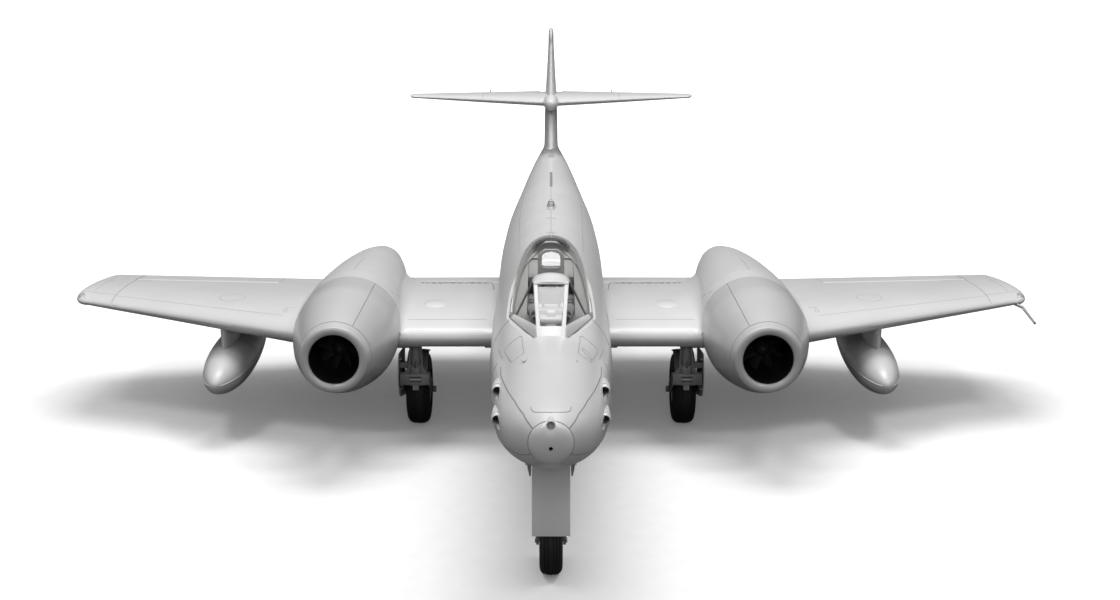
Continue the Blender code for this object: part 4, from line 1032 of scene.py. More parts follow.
def pod_space(side):
    """The nacelle's outside, slightly enlarged, for cutting the wing."""
    profile = [(INTAKE, 0.05)] + [(s, nacelle_radius(s) + 0.3)
                                  for s in steps(INTAKE, 1120, 60)] + [(1120, 0.05)]
    return turned("pod_space", profile, on_nacelle(side), segments=96)


def build_fillets(side, label):
    """Concave fairings where the wing meets the fuselage and the nacelle."""
    def strip(sections, wall, sense, upper, stations, reach):
        rings = []
        for t in steps(0.0, 1.0, 40):
            station = mix(*stations, t)
            r = mix(reach * 0.75, reach * 1.9,
                    t) * math.sin(math.pi * min(1.0, 0.03 + 0.97 * t)) ** 0.45 + 0.4
            sign = 1 if upper else -1

            def surface_height(x):
                row = section_at(sections, x)
                u = (station - row[0]) / (row[1] - row[0])
                _, middle, half = offsets(sections, x, u)
                return middle + sign * half
            z = surface_height(abs(wall(station, 150.0)))
            x_wall = wall(station, z)
            z = surface_height(abs(x_wall))
            x_high = wall(station, z + sign * r)
            corner = at(side * x_wall, station, z)
            start = at(side * (x_wall + sense * r), station,
                       surface_height(abs(x_wall + sense * r)) - sign * 0.25)
            end = at(side * x_high, station, z + sign * r) - Vector((side * sense, 0, 0)) * 0.00025
            arc = [start * (1 - k) ** 2 + corner * 2 * k * (1 - k) + end * k * k for k in steps(0, 1, 10)]
            buried = at(side * (x_wall - sense * 1.5), station, z - sign * 1.5)
            rings.append(arc + [buried])
        return loft("fillet", rings)

    def hull_wall(station, height):
        half_width, top, bottom = hull_size(station)
        middle, half = (top + bottom) / 2, (top - bottom) / 2
        return half_width * math.sqrt(max(0.02, 1 - ((height - middle) / half) ** 2))

    def pod_wall(direction):
        def wall(station, height):
            centre = NACELLE_Z - NACELLE_SLOPE * station
            radius = nacelle_radius(station)
            return NACELLE_X + direction * math.sqrt(max(1.0, radius**2 - (height - centre) ** 2))
        return wall

    wall_in, wall_out = pod_wall(-1), pod_wall(1)
    pieces = [strip(CENTRE_WING, hull_wall, 1, True, (645, 962), 14.0),
              strip(CENTRE_WING, wall_in, -1, True, (645, 1040), 22.0),
              strip(OUTER_WING, wall_out, 1, True, (650, 1020), 13.0),
              strip(OUTER_WING, wall_out, 1, False, (655, 1015), 9.0),
              strip(CENTRE_WING, wall_in, -1, False, (800, 955), 8.0)]
    name = "wing_fillets_" + label
    add(name, joined(name, pieces), crease=50)


# ---------------------------------------------------------------- nacelles, fans and tanks

def build_nacelle(side, label):
    place = on_nacelle(side)

    def skin_place(station, angle, sink):
        radius = nacelle_radius(station) - sink
        return place(station, radius * math.sin(angle), radius * math.cos(angle))

    ring = [2 * math.pi * i / 96 for i in range(96)]
    lip_half = (nacelle_radius(496) - INTAKE_RADIUS) / 2
    lip_middle = INTAKE_RADIUS + lip_half
    lip = [(INTAKE + 5 - 5 * math.sin(math.radians(a)), lip_middle + lip_half * math.cos(math.radians(a)))
           for a in steps(180, 0, 20)]
    outer = [(s, nacelle_radius(s)) for s in (499, 503, 507)]
    lip_profile = lip + outer + [(507, 42.0), (520, 36.8), (520, 34.3), (505, 33.7)]
    add("intake_lip_" + label, turned("intake_lip", lip_profile, place, ("cowl",), 96, closed=True),
        stands_for=("intake_cowl_" + label,))
    joint = [(507, nacelle_radius(507) - 0.7), (508.0, nacelle_radius(508) - 0.7), (508.0, 42.5),
             (507, 42.5)]
    add("intake_joint_" + label, turned("intake_joint", joint, place, ("line",), 96, closed=True))

    seam_angle = (2 * math.pi - 0.52) if side > 0 else 0.52
    low_angle = (2 * math.pi - 2.0) if side > 0 else 2.0
    cowl = surface("cowl_skin_" + label, skin_place, steps(508, COWL_BREAK - 0.2, 34), ring,
                   [("v", seam_angle, 0.006, 508, 700), ("v", low_angle, 0.006, 512, 585),
                    ("u", 585, 0.35, low_angle, low_angle + 0.5) if side < 0 else
                    ("u", 585, 0.35, low_angle - 0.5, low_angle)],
                   looks=("cowl", "line"), sink_rows=[(s, 3.0) for s in (508, 560, 627, COWL_BREAK - 0.2)])
    add("cowl_skin_" + label, cowl)
    rear = surface("nacelle_skin_" + label, skin_place, steps(COWL_BREAK + 0.7, 1120, 60), ring,
                   [("v", 0.02, 0.006, 735, 860), ("u", 1028, 0.35, None, None),
                    ("u", 735, 0.3, None, None)],
                   looks=("shell", "seam"),
                   sink_rows=[(s, 3.0) for s in (COWL_BREAK + 0.7, 780, 860, 1028, 1120)])
    add("nacelle_skin_" + label, rear, stands_for=("nacelle_" + label,))
    strap = [(COWL_BREAK - 0.2, nacelle_radius(COWL_BREAK) - 0.9),
             (COWL_BREAK + 0.7, nacelle_radius(COWL_BREAK) - 0.9),
             (COWL_BREAK + 0.7, nacelle_radius(COWL_BREAK) - 3.0),
             (COWL_BREAK - 0.2, nacelle_radius(COWL_BREAK) - 3.0)]
    add("cowl_strap_" + label, turned("cowl_strap", strap, place, ("line",), 96, closed=True))

    def pod_spot(station, angle):
        p = skin_place(station, angle, 0.0)
        around = skin_place(station, angle + 0.01, 0.0) - skin_place(station, angle - 0.01, 0.0)
        along = skin_place(station + 1, angle, 0.0) - skin_place(station - 1, angle, 0.0)
        n = around.cross(along).normalized()
        if n.dot(p - place(station, 0, 0)) < 0:
            n.negate()
        return p, n

    inward = -side
    for start, angle in ((700, 0.86), (722, 1.02)):
        pairs = [pod_spot(start + 12 * t, inward * (angle + 0.10 * t)) for t in steps(0, 1, 6)]
        line([p for p, _ in pairs], [n for _, n in pairs], width=1.2)
    for offset in (1.02, 1.16):
        for k in range(22):
            p, n = pod_spot(735 + 11 * k, inward * offset)
            turn = n.to_track_quat("Z", "Y").to_matrix().to_4x4()
            stud = bpy.data.meshes.new("rivet")
            bm = bmesh.new()
            bmesh.ops.create_uvsphere(bm, u_segments=8, v_segments=4, radius=0.00055,
                                      matrix=Matrix.Translation(p) @ turn @ Matrix.Diagonal((1, 1, 0.5, 1)))
            bm.to_mesh(stud)
            bm.free()
            stud.materials.append(LOOKS["seam"])
            LINES.append(stud)

    duct = [(INTAKE + 6, 33.4), (520, 33.9), (540, 33.9), (556.5, 33.9), (556.5, 36.9), (520, 36.9),
            (INTAKE + 10, 35.0)]
    add("intake_duct_" + label, turned("intake_duct", duct, place, ("black",), 80, closed=True))
    exhaust = [(1119, 33.0), (1119.6, 34.2), (1118, 34.6), (1028, 41.0), (860, 38.0), (622, 37.0),
               (622, 34.2),
               (860, 35.0), (1028, 34.0), (1110, 31.6)]
    add("exhaust_duct_" + label, turned("exhaust_duct", exhaust, place, ("fan",), 72, closed=True))
    build_fan(label, place)


def build_fan(label, place):
    """The ring, stator vanes and motor, then the bladed rotor in front of them."""
    ring = turned("ring", [(557, 34), (557, 36.8), (619, 36.8), (619, 34)], place, ("black",), 80,
                  closed=True)
    motor = [(584, 0.05), (584, 12.6), (586, 13.0), (625, 13.0), (629, 11.0), (633, 0.05)]
    parts = [ring, turned("motor", motor, place, ("fan",), 48)]
    for k in range(5):
        base = 2 * math.pi * (k + 0.25) / 5
        rings = []
        for radius in steps(12.4, 34.6, 6):
            section = []
            for along, thick in ((596, 0.2), (600, 1.1), (606, 1.2), (612, 0.8), (618, 0.15)):
                section.append((along, thick))
            outline = section + [(a, -t) for a, t in reversed(section)]
            ring_points = []
            for along, thick in outline:
                shift = thick + 2.5 * ((along - 596) / 22) ** 2
                x = radius * math.sin(base) + shift * math.cos(base)
                z = radius * math.cos(base) - shift * math.sin(base)
                ring_points.append(place(along, x, z))
            rings.append(ring_points)
        parts.append(loft("vane", rings, ("fan",)))
    name = "fan_stator_" + label
    add(name, joined(name, parts), stands_for=("fan_housing_" + label,))

    hub = [(549, 0.05), (549.6, 2.0), (551.5, 4.6), (555, 7.6), (560, 10.4), (567, 12.2), (575, 12.6),
           (582, 12.6),
           (582, 0.05)]
    parts = [turned("spinner", hub, place, ("fan",), 56)]
    for k in range(9):
        base = 2 * math.pi * k / 9
        rings = []
        for radius in steps(11.6, 31.9, 9):
            pitch = math.radians(mix(52, 30, (radius - 11.6) / 20.3))
            chord = mix(16.0, 19.0, (radius - 11.6) / 20.3)
            section = [(-0.5, 0.1), (-0.25, 0.9), (0.1, 1.0), (0.35, 0.6), (0.5, 0.1)]
            outline = section + [(a, -t * 0.4) for a, t in reversed(section)]
            ring_points = []
            for a, thick in outline:
                lengthwise = a * chord * math.cos(pitch) - thick * math.sin(pitch)
                sideways = a * chord * math.sin(pitch) + thick * math.cos(pitch)
                angle = base + sideways / radius
                ring_points.append(place(571 + lengthwise, radius * math.sin(angle),
                                         radius * math.cos(angle)))
            rings.append(ring_points)
        parts.append(loft("blade", rings, ("fan",)))
    name = "fan_rotor_blades_" + label
    add(name, joined(name, parts), "fan_" + label, ("fan_rotor_" + label,))


def tank_radius(station):
    t = (station - TANK_ENDS[0]) / (TANK_ENDS[1] - TANK_ENDS[0])
    fullest = 0.40
    along = (fullest - t) / fullest if t < fullest else (t - fullest) / (1 - fullest)
    return TANK_RADIUS * max(0.0, 1 - abs(along) ** (2.2 if t < fullest else 1.9)) ** (0.54 if t < fullest
                                                                                       else 0.62)


def build_tank(side, label):
    def skin_place(station, angle, sink):
        radius = max(0.03, tank_radius(station) - sink)
        return at(side * TANK_X + radius * math.sin(angle), station, TANK_Z + radius * math.cos(angle))

    stations = [mix(*TANK_ENDS, (1 - math.cos(math.pi * i / 56)) / 2) for i in range(57)]
    ring = [2 * math.pi * i / 72 for i in range(72)]
    grooves = [("v", 0.5 * math.pi + 0.001, 0.012, 612, 980), ("v", 1.5 * math.pi - 0.001, 0.012, 612, 980),
               ("u", 668, 0.35, 2 * math.pi - 0.55, 2 * math.pi - 0.05) if side < 0
               else ("u", 668, 0.35, 0.05, 0.55),
               ("u", 760, 0.35, None, None), ("u", 880, 0.35, None, None)]
    tank = surface("drop_tank_skin_" + label, skin_place, stations, ring, grooves, looks=("shell", "line"))
    add("drop_tank_skin_" + label, tank, stands_for=("drop_tank_" + label,))
    for angle in (0.5 * math.pi, 1.5 * math.pi):
        rail = [skin_place(s, angle, -0.1) for s in steps(614, 975, 60)]
        add(f"tank_seam_{label}_{'a' if angle < 3 else 'b'}", tube("tank_seam", rail, 0.9, ("shell",), 8))
        # Painted shadow: a dark line just below each raised seam rail.
        shade = angle + (0.045 if angle < 3 else -0.045)
        line([skin_place(s, shade, 0.0) for s in steps(618, 970, 60)],
             [Vector((math.sin(angle), 0, -0.3)).normalized()] * 61, width=1.1)

    x = side * TANK_X
    outline = []
    for t in steps(0, 1, 14):
        station = mix(692, 850, (1 - math.cos(math.pi * t)) / 2)
        u = (station - 692) / 158
        half = 13.2 * (1.9 * math.sqrt(u) * (1 - u) ** 0.8 + 0.15 * u * (1 - u))
        outline.append((half, station))
    ring = [at(x + h, s, TANK_Z + 22) for h, s in outline] + [at(x - h, s, TANK_Z + 22) for h,
                                                              s in outline[-2:0:-1]]
    pylon = prism("tank_pylon_skin_" + label, ring, Vector((0, 0, 0.042)))
    space = loft("wing_space",
                 [[place_panel(side, span, v) for v in CHORD_RING] for span in steps(440, 500, 6)])
    pylon = carve(pylon, space)
    add("tank_pylon_skin_" + label, pylon, stands_for=("tank_pylon_" + label,))


def place_panel(side, span, v):
    station, middle, half = offsets(OUTER_WING, span, abs(v))
    return at(side * span, station, middle + math.copysign(half, v))


# ---------------------------------------------------------------- tail

def bullet_radius(station):
    t = (station - 1406) / 80
    if not 0 < t < 1:
        return 0.05
    return 14.4 * math.sin(math.acos(1 - 2 * t)) ** (0.8 if t < 0.5 else 1.1)


def build_tail():
    centre_z = TAIL_PANEL[0][3]
    stations = [1406 + 80 * (1 - math.cos(math.pi * i / 26)) / 2 for i in range(27)]
    bullet = turned("fin_bullet_skin", [(s, bullet_radius(s)) for s in stations], along_y(0, centre_z),
                    segments=56)
    add("fin_bullet_skin", bullet, stands_for=("fin_bullet",))

    spans = [262, 275, 290, 310] + steps(330, 470, 20) + [row[0] for row in FIN[2:]]
    grooves = [("u", 330, 0.35, 0.02, 0.70), ("u", 330, 0.35, -0.70, -0.02), ("u", 440, 0.35, 0.02, 0.60),
               ("u", 440, 0.35, -0.60, -0.02), ("v", 0.12, 0.0014, 300, 470),
               ("v", -0.12, 0.0014, 300, 470)]
    fin = panel("tail_fin_skin", FIN, fin_place, spans, grooves)
    spine_space = loft("spine_space",
                       [[hull(s, a, -0.1) for a in RING[::2]] for s in steps(1250, 1592, 20)])
    front = RUDDER_HINGES[0] - control_frame(FIN, 262, RUDDER_HINGES[0])[2] - CONTROL_GAP
    rudder_bay = box("rudder_bay", (-40, 40), (front, 1760), (232, 505))
    add("tail_fin_skin", carve(fin, spine_space, rudder_bay), stands_for=("tail_fin",))
    for key, spans in RUDDER_SPANS.items():
        control(f"rudder_{key}_skin", FIN, spans, RUDDER_HINGES, fin_place, "rudder", f"rudder_{key}")

    for side, label in SIDES:
        place = wing_place(side)
        spans = [0.5, 8, 16] + steps(24, 250, 26) + [row[0] for row in TAILPLANE[1:]]
        grooves = [("u", 129, 0.35, 0.03, 0.62), ("u", 129, 0.35, -0.62, -0.03),
                   ("v", 0.16, 0.002, 20, 250),
                   ("v", -0.16, 0.002, 20, 250)]
        plane = panel("tailplane_skin_" + label, TAILPLANE, place, spans, grooves)
        plane = carve(plane, bay_cutter(TAILPLANE, (-5.0, ELEVATOR_SPAN[1]), ELEVATOR_HINGES, place))
        add("tailplane_skin_" + label, plane, stands_for=("tailplane_" + label,))
        control("elevator_skin_" + label, TAILPLANE, ELEVATOR_SPAN, ELEVATOR_HINGES, place,
                "elevator_" + label,
                "elevator_" + label)
        middle = offsets(TAILPLANE, 118, 0.93)[1]
        nub = rod("nub", at(side * 118, 1585, middle - 1), at(side * 118, 1596, middle + 5.2), 1.5,
                  ("gear",),
                  end_radius=0.9, bevel=0.2)
        add("elevator_horn_" + label, nub, "elevator_" + label)

    rings = []
    for t in steps(0.0, 1.0, 22):
        station = mix(1352, 1560, t)
        width = section_half(FIN, 292, station) + 0.2
        _, top, _ = hull_size(station)
        foot = 9.5 * (1 - 0.45 * t)
        ring = []
        for k in steps(-1, 1, 24):
            a = abs(k)
            across = width + foot * (1 - math.sqrt(max(0.0, 1 - a * a)))
            drop = hull_drop(station, across)
            ring.append(at(math.copysign(across, k), station,
                           mix(top + 13 * (1 - 0.3 * t), top - drop - 0.3, a**0.8)))
        ring.append(at(0, station, top - 6))
        rings.append(ring)
    add("fin_root_fairing", loft("fin_root_fairing", rings), crease=50)
    wall = [fin_place(292, s, section_half(FIN, 292, s)) for s in steps(1400, 1560, 20)]
    line(wall, [Vector((1, 0, 0))] * len(wall), width=0.7)


def section_half(sections, span, station):
    leading, trailing, _, _ = section_at(sections, span)
    return offsets(sections, span, (station - leading) / (trailing - leading))[2]


def hull_drop(station, x):
    half_width, top, bottom = hull_size(station)
    half = (top - bottom) / 2
    return half * (1 - math.sqrt(max(0.0, 1 - (x / half_width) ** 2)))


# ---------------------------------------------------------------- canopy and cockpit

def canopy_values(station):
    return (smooth_value([(row[0], row[1]) for row in CANOPY], station),
            smooth_value([(row[0], row[2]) for row in CANOPY], station))


def hoop_outline(t):
    """Height and half width of the straight-sided front hoop, t from one foot to the other."""
    way = min(t, 1 - t)
    if way < 0.05:
        x, z = mix(47.5, 43.5, way / 0.05), mix(250.3, 252.5, way / 0.05)
    elif way < 0.36:
        x, z = mix(43.5, 23.0, (way - 0.05) / 0.31), mix(252.5, 295.5, (way - 0.05) / 0.31)
    else:
        angle = math.radians(mix(0, 90, (way - 0.36) / 0.14))
        x, z = 23.0 * math.cos(angle), 295.5 + 9.5 * math.sin(angle) ** 1.1
    return (-x if t < 0.5 else x), z


def arch(station, shrink=0.0, count=40, low=0.0):
    half_width, top = canopy_values(station)
    half_width, top = half_width - shrink, top - shrink
    base = deck_height(station) + 0.3
    far = max(0.0, min(1.0, (station - 386) / 62))
    round_share = far * far * (3 - 2 * far)
    ring = []
    for index in range(count + 1):
        angle = mix(low, math.pi - low, index / count)
        x, z = -half_width * math.cos(angle), base + (top - base) * math.sin(angle) ** 0.85
        if round_share < 1:
            hoop_x, hoop_z = hoop_outline(angle / math.pi)
            scale = 1 - shrink / 48
            x = mix(hoop_x * scale, x, round_share)
            z = mix(base + (hoop_z - 250.3) * scale, z, round_share)
        ring.append(at(x, station, z))
    return ring


def build_canopy():
    glass_stations = [388] + steps(392, 606, 34)
    low = 0.05
    rings = [arch(s, 0.0, 40, low) + list(reversed(arch(s, 1.3, 40, low))) for s in glass_stations]
    add("canopy_bubble", loft("canopy_bubble", rings, ("glass",)), "canopy", ("canopy_glass",),
        crease=60)
    frame_parts = [hoop(386.4, 389.4), hoop(603.5, 645.0, steps_count=12)]
    for side in (-1, 1):
        rings = []
        for s in steps(386, 644, 50):
            half_width, _ = canopy_values(s)
            base = deck_height(s)
            rings.append([at(side * (half_width + 0.9), s, base + 0.4),
                          at(side * (half_width + 1.0), s, base + 3.6),
                          at(side * (half_width + 0.2), s, base + 6.4),
                          at(side * (half_width - 1.6), s, base + 6.4),
                          at(side * (half_width - 2.6), s, base + 3.6),
                          at(side * (half_width - 2.6), s, base + 0.4)])
        frame_parts.append(loft("rail", rings))
    add("canopy_frame_skin", joined("canopy_frame_skin", frame_parts), "canopy", ("canopy_frame",),
        crease=45)


def hoop(start, end, steps_count=4):
    outer = [arch(s, -0.4, 48) for s in steps(start, end, steps_count)]
    inner = [arch(s, 2.2, 48) for s in reversed(steps(start, end, steps_count))]
    count = len(outer[0])
    rows = outer + inner
    points = [p for ring in rows for p in ring]
    faces = []
    for row in range(len(rows)):
        following = (row + 1) % len(rows)
        for i in range(count - 1):
            faces.append((row * count + i, row * count + i + 1, following * count + i + 1,
                          following * count + i))
    faces.append(tuple(row * count for row in range(len(rows))))
    faces.append(tuple(row * count + count - 1 for row in reversed(range(len(rows)))))
    return make_mesh("hoop", points, faces)


def bar(name, path, width, thick, normals):
    """A flat bar along a path: width across the surface and thick along its normals."""
    rings = []
    for i, (p, n) in enumerate(zip(path, normals)):
        before, after = path[max(0, i - 1)], path[min(len(path) - 1, i + 1)]
        across = (after - before).cross(n).normalized() * (width / 2 * MM)
        up = n.normalized() * (thick * MM)
        rings.append([p - across * 0.8 + up, p + across * 0.8 + up, p + across + up * 0.5,
                      p + across - up * 0.6,
                      p - across - up * 0.6, p - across + up * 0.5])
    return loft(name, rings)


def build_windscreen():
    low_x, high_x, low_s, high_s, base, top = 14.3, 19.0, 292.5, 368.0, 250.5, 297.0
    pane_normal = Vector((0, -(top - base), high_s - low_s)).normalized()

    def edge(side, t):
        return at(side * mix(low_x, high_x, t), mix(low_s, high_s, t), mix(base, top, t))

    def rear(side, t):
        return at(side * mix(43.5, 23.0, t), 385.0, mix(252.5, 295.5, t))

    parts = []
    for side in (-1, 1):
        path = [edge(side, t) for t in steps(-0.02, 1.02, 14)]
        parts.append(bar("post", path, 5.2, 1.3, [pane_normal] * 15))
        flange = []
        for t in steps(0, 1, 16):
            outer = at(side * mix(18.4, 51.0, t), mix(289.5, 387.0, t), mix(250.4, 249.9, t))
            inner = mix(edge(side, 0.21) + Vector((side * 0.0024, 0, 0.0008)), rear(side, 0.02), t)
            row = []
            for k in steps(0, 1, 6):
                bulge = Vector((0, 0, 0.0016 * math.sin(math.pi * k)))
                row.append(mix(outer, inner, k) + bulge)
            flange.append(row)
        parts.append(sheet("flange", flange, 1.6))
        gusset = [[mix(edge(side, t) + Vector((side * 0.0022, 0, -0.0004)),
                              mix(flange[0][0], flange[0][-1], k), k) for k in steps(0, 1, 4)]
                  for t in steps(-0.02, 0.21, 4)]
        parts.append(sheet("gusset", gusset, 1.2))
        outline = [at(side * mix(18.8, 51.6, t), mix(288.6, 386.4, t), mix(250.6, 250.4, t))
                   for t in steps(0, 1, 12)]
        line(outline, [Vector((0, 0, 1))] * 13, width=1.3, look="line")
        parts.append(rod("rear_bar", rear(side, 0.0), rear(side, 1.0), 1.15, ("line",), 12))
    sill = []
    for t in steps(-0.03, 0.20, 5):
        left, right = edge(-1, t), edge(1, t)
        bow = 0.0022 * (1 - max(0.0, t) / 0.2)
        sill.append([mix(left, right,
                         k) + pane_normal * 0.0009 - Vector((0, bow * math.sin(math.pi * k), 0))
                     for k in steps(0, 1, 10)])
    parts.append(sheet("sill", sill, 2.0))
    roof_rows = []
    for t in steps(0, 1, 6):
        row = []
        for k in steps(0, 1, 24):
            front_x = mix(-20.8, 20.8, k)
            front_point = at(front_x, 366.5, 298.6 + 1.2 * math.sin(math.pi * k))
            x, z = hoop_outline(mix(0.36, 0.64, k))
            row.append(mix(front_point, at(x, 386.0, z + 0.4), t))
        roof_rows.append(row)
    parts.append(sheet("roof", roof_rows, 1.4))
    brow = [mix(edge(-1, 1.0), edge(1, 1.0), t) + Vector((0, -0.0008, 0.0008))
            for t in steps(-0.04, 1.04, 8)]
    parts.append(bar("brow", brow, 3.2, 1.2, [pane_normal] * 9))
    add("windscreen_frame_skin", joined("windscreen_frame_skin", parts), stands_for=("windscreen_frame",),
        crease=24)

    front_pane = [[mix(edge(-1, t), edge(1, t), k) - pane_normal * 0.0006 for k in steps(0, 1, 4)]
                  for t in steps(0.18, 1, 8)]
    panes = [sheet("front_pane", front_pane, 1.0, ("glass",))]
    for side in (-1, 1):
        rows = [[mix(edge(side, mix(0.2, 1.0, t)), rear(side, t), k) for k in steps(0, 1, 8)]
                for t in steps(0, 1, 10)]
        panes.append(sheet("side_pane", rows, 1.0, ("glass",)))
    add("windscreen_panes", joined("windscreen_panes", panes), stands_for=("windscreen_glass",),
        crease=60)


def thick_grid(name, rows, shift, looks):
    """A thin closed plate: a grid of points and its copy moved by shift."""
    wide, tall = len(rows[0]), len(rows)
    front = [p for row in rows for p in row]
    points = front + [p + shift for p in front]
    back = len(front)
    faces = []
    for r in range(tall - 1):
        for c in range(wide - 1):
            a, b = r * wide + c, r * wide + c + 1
            d, e = (r + 1) * wide + c, (r + 1) * wide + c + 1
            faces += [(a, b, e, d), (a + back, d + back, e + back, b + back)]
    rim = list(range(wide)) + [r * wide + wide - 1 for r in range(1, tall)]
    rim += [(tall - 1) * wide + c for c in range(wide - 2, -1, -1)] + [r * wide
                                                                       for r in range(tall - 2, 0, -1)]
    for i, a in enumerate(rim):
        b = rim[(i + 1) % len(rim)]
        faces.append((a, b, b + back, a + back))
    return make_mesh(name, points, faces, looks)


def sheet(name, rows, thickness, looks=("shell",)):
    """A plate from a grid of points, thickened downwards along the grid's normal."""
    wide = len(rows[0])
    across = rows[0][-1] - rows[0][0]
    along = rows[-1][wide // 2] - rows[0][wide // 2]
    normal = across.cross(along).normalized()
    if normal.z < 0:
        normal.negate()
    return thick_grid(name, rows, normal * -thickness * MM, looks)


def build_cockpit():
    tub = []
    slab = [(291, 249.7), (385, 249.7), (630, deck_height(630) - 0.3), (630, deck_height(630) - 2.4),
            (385, 247.6), (291, 247.6)]
    deck = side_prism("deck", slab, -57, 57, ("cockpit",))
    inside = loft("inside", [[hull(s, a, SKIN + 0.9) for a in RING[::2]] for s in steps(250, 640, 30)])
    hole = box("hole", (-30, 30), (394, 583), (200, 320), ("cockpit",))
    deck = carve(deck, inside, operation="INTERSECT")
    deck = carve(deck, hole)
    tub.append(deck)
    for side in (-1, 1):
        tub.append(side_prism("wall", [(392, 208), (392, 250.2), (585, 278.6), (585, 208)], side * 30,
                              side * 32,
                              ("cockpit",)))
        console = [(404, 210), (404, 238), (462, 240), (520, 246), (520, 210)]
        tub.append(side_prism("console", console, side * 19.5, side * 29.9, ("cockpit",), bevel=0.6))
        for k in range(4):
            s = 412 + 24 * k
            tub.append(box("switch_panel", (side * 21, side * 28.6), (s, s + 18),
                           (238 + k * 1.0, 240.6 + k * 1.2),
                           ("bay",), bevel=0.4))
            for j in range(3):
                tub.append(rod("knob", at(side * (22.6 + 2.4 * j), s + 5 + 4 * (j % 2), 240.5 + k),
                               at(side * (22.6 + 2.4 * j), s + 5 + 4 * (j % 2), 243.4 + k), 0.7, ("line",),
                               10))
    tub.append(box("floor", (-30, 30), (394, 583), (208, 210), ("bay",)))
    tub.append(side_prism("rear_shelf", [(523, 258), (523, 268), (585, 277.5), (585, 270)], -30.4, 30.4,
                          ("cockpit",),
                          0.8))
    for s in (392, 583):
        tub.append(box("bulkhead", (-30, 30), (s, s + 2), (208, deck_height(s) - 0.5), ("cockpit",)))
    add("cockpit_tub_skin", joined("cockpit_tub_skin", tub), stands_for=("cockpit_tub",))

    board = [side_prism("board", [(398, 224), (402.5, 224), (397.5, 262), (394.5, 262)], -27, 27,
                        ("cockpit",), 0.5)]
    for x, z, r in ((-17, 252, 4.4), (-6, 253, 4.8), (6, 253, 4.8), (17, 252, 4.4), (-18, 240, 3.8),
                    (-7, 240, 4.4),
                    (7, 240, 4.4), (18, 240, 3.8), (-10, 230, 3.0), (0, 230, 3.4), (10, 230, 3.0)):
        s = mix(402.7, 397.9, (z - 224) / 38)
        rim = turned("rim", [(s, r - 0.8), (s + 0.9, r - 0.6), (s + 0.9, r), (s, r)],
                     along_y(x, z), ("line",), 24, closed=True)
        face = turned("face", [(s + 0.05, r - 0.7), (s + 0.35, r - 0.7)], along_y(x, z), ("black",), 24)
        needle = box("needle", (x - 0.15, x + 0.15), (s + 0.35, s + 0.6), (z, z + r * 0.7), ("strap",))
        board += [rim, face, needle]
    add("instrument_board", joined("instrument_board", board), stands_for=("instrument_panel",))

    hood_rows = []
    for t in steps(0, 1, 10):
        s = mix(352, 398, t)
        half = mix(24, 29, t)
        hood_rows.append([at(half * k, s, 258 + 6 * math.sqrt(max(0.0, 1 - k * k)) + 2.5 * t)
                          for k in steps(-1, 1, 20)])
    parts = [sheet("hood", hood_rows, 1.6, ("cockpit",))]
    for name, half_width, stations, heights, look, bevel in (
            ("coaming_box", 13, (330, 352), (250, 263), "cockpit", 1.2),
            ("coaming_step", 17, (352, 366), (250, 268), "cockpit", 1.2),
            ("sight_base", 6, (322, 336), (250, 257), "seam", 0.8),
            ("sight_body", 5, (340, 356), (262, 269), "cockpit", 1.4),
            ("sight_shelf", 13.6, (366, 380), (272, 290), "bay", 1.2),
            ("sight_head", 6, (374, 388), (290, 298), "cockpit", 1.0)):
        parts.append(box(name, (-half_width, half_width), stations, heights, (look,), bevel))
    for side in (-1, 1):
        parts.append(box("sight_knob", (side * 8, side * 13), (378, 384), (290, 294.5), ("line",),
                         bevel=0.6))
        parts.append(rod("sight_leg", at(side * 10, 372, 262), at(side * 10, 372, 273), 1.6, ("cockpit",),
                         14))
        parts.append(rod("sight_pipe", at(side * 13, 352, 254), at(side * 13, 366, 268), 1.3, ("cockpit",),
                         14))
        parts.append(rod("side_dial", at(side * 21, 356, 262), at(side * 21, 362, 262), 3.4, ("line",), 20))
    add("coaming", joined("coaming", parts))

    stick = [at(0, 438, 211), at(0, 437, 222), at(0, 433, 232), at(0, 434, 239)]
    grip = [at(5.2 * math.cos(a), 434 + 0.8 * math.sin(a), 246 + 6.2 * math.sin(a))
            for a in steps(0, 2 * math.pi, 24)[:-1]]
    add("control_stick", joined("control_stick", [tube("column", stick, 1.4, ("line",)),
                                                  tube("grip", grip, 1.3, ("black",), closed=True)]))
    build_seat()


def pad(name, centre, size, lean=0.0):
    """A crowned cushion: a rounded box whose faces swell between their corners."""
    rings = []
    count, power = 18, 2 / 3.2
    for i in range(count + 1):
        v = -math.pi / 2 + math.pi * i / count
        ring = []
        for k in range(count * 2):
            a = math.pi * k / count
            cx = math.copysign(abs(math.cos(v)) ** power * abs(math.cos(a)) ** power, math.cos(a))
            cy = math.copysign(abs(math.cos(v)) ** power * abs(math.sin(a)) ** power, math.sin(a))
            cz = math.copysign(abs(math.sin(v)) ** power, math.sin(v))
            x, y, z = cx * size[0] / 2, cy * size[1] / 2, cz * size[2] / 2
            ring.append(at(centre[0] + x, centre[1] + y + lean * z, centre[2] + z))
        rings.append(ring)
    return loft(name, rings, ("seat",))


